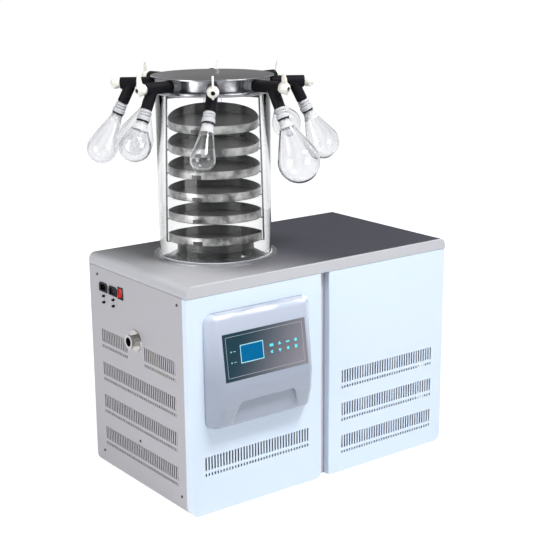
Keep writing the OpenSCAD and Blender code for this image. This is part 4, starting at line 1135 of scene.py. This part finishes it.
# %% Cut the pocket and hollow the shell
top_ball, wide_ball = nose[0], nose[1]
lean_out = wide_ball[0] - top_ball[0]
lean_down = top_ball[1] - wide_ball[1]
slope = math.atan2(lean_out, lean_down)
slope += math.asin((wide_ball[2] - top_ball[2]) / math.hypot(lean_out, lean_down))
face_reach = math.cos(slope) * top_ball[0] + math.sin(slope) * top_ball[1] + top_ball[2]
fascia_high = 189
fascia_out = (face_reach - math.sin(slope) * fascia_high) / math.cos(slope)
on_fascia = move(0, -fascia_out * MM, fascia_high * MM) @ Matrix.Rotation(math.pi / 2 - slope, 4, "X")
fascia_half = Vector((128, 60, 0)) * MM
seat = 4 * MM
ledge = 5 * MM
house_wall = 2.5 * MM
rim_room = 8 * MM


def cut_face(piece, grow, depth, reach):
    """Cut a rectangle into the sloping face: the fascia's own size, grown all round."""
    half = fascia_half + Vector((grow, grow, 0))
    cut(piece, add_block(-half - Vector((0, 0, depth)), half + Vector((0, 0, reach)), on_fascia))


hollow = stretch_shell("hollow", house_wall)
cut(hollow, recess_cutter(house_wall))
cut_face(hollow, rim_room, seat + 3 * MM, 0.02)
cut(housing, hollow)
cut_face(housing, 0, seat, 0.03)
cut_face(housing, -ledge, seat + 0.01, 0.03)
set_down(smooth(housing, 40), house_place)
hand_over(housing, "housing_gloss", stands_for=["control_housing"])
print("slope in degrees:", round(math.degrees(slope), 2), "faces:", len(housing.data.polygons))

# %% [markdown]
# ## Print on the fascia
# The fascia is a dark film with a thin light frame line, a pale border round the display, eight small
# key marks, and two lamps with a bar beside each. Screen print has almost no thickness, so each mark
# is a very thin plate. The keys and lamps are pads that rise a little out of the film, and their marks
# lie at the pads' height. The marks are plain arrows, bars and dots: the machine carries no words.

# %% Lay the print
film = house_place @ on_fascia @ move(0, 0, -1 * MM)
print_thick = 0.12 * MM
pad_rise = 0.6 * MM


def add_mark(outline, spot, lift=0.0):
    """A thin plate with an outline in the film's own plane, at a spot on the film."""
    mark = add_plate("mark", outline, print_thick)
    place = move(spot[0] * MM, spot[1] * MM, lift + print_thick / 2)
    return set_down(mark, film @ place @ tip_forward)


def bar_outline(half_wide, half_tall):
    """A rectangle about the origin, in millimetres, as an outline in metres."""
    x, z = half_wide * MM, half_tall * MM
    return [(-x, -z), (x, -z), (x, z), (-x, z)]


def frame_marks(half_wide, half_tall, line, spot):
    """Four bars that make a rectangular frame line round a spot."""
    bars = []
    for side in (-1, 1):
        bars.append(add_mark(bar_outline(half_wide + line, line), (spot[0], spot[1] + side * half_tall)))
        bars.append(add_mark(bar_outline(line, half_tall - line), (spot[0] + side * half_wide, spot[1])))
    return bars


def arrow_outline(size, turn, corners=3):
    """A triangle that points up, of a radius in millimetres, turned by an angle in degrees."""
    return arc(0, 0, size * MM, 90 + turn, 450 + turn, corners)[:-1]


def dot_outline(size):
    """A disc of a given radius in millimetres."""
    return arrow_outline(size, -90, 20)


frame_line = join(frame_marks(118, 51, 0.45, (0, 0)), "frame_line")
hand_over(frame_line, "print_grey")
display_border = join(frame_marks(34.2, 22.2, 1.1, (-42, 3)), "display_border")
hand_over(display_border, "print_pale")
key_columns = [17.75 + 25.5 * column for column in range(4)]
key_rows = [8.5, -8.5]
shapes = [bar_outline(5.6, 3.4), arrow_outline(5.8, 0), bar_outline(5.6, 2.0), dot_outline(4.4)]
shapes += [arrow_outline(5.8, 90), arrow_outline(5.8, 180), dot_outline(4.0), bar_outline(4.2, 4.2)]
spots = [(x, y) for y in key_rows for x in key_columns]
marks = [add_mark(shape, spot, pad_rise) for shape, spot in zip(shapes, spots)]
hand_over(join(marks, "key_marks"), "print_cyan")
lamp_rows = (13.5, -13.5)
lamps = [add_mark(dot_outline(1.9), (-105, y), pad_rise) for y in lamp_rows]
lamps += [add_mark(bar_outline(4.0, 0.6), (-95, y), pad_rise) for y in lamp_rows]
hand_over(join(lamps, "pilot_lamps"), "print_pale")
print("marks:", len(marks), "lamps:", len(lamps))
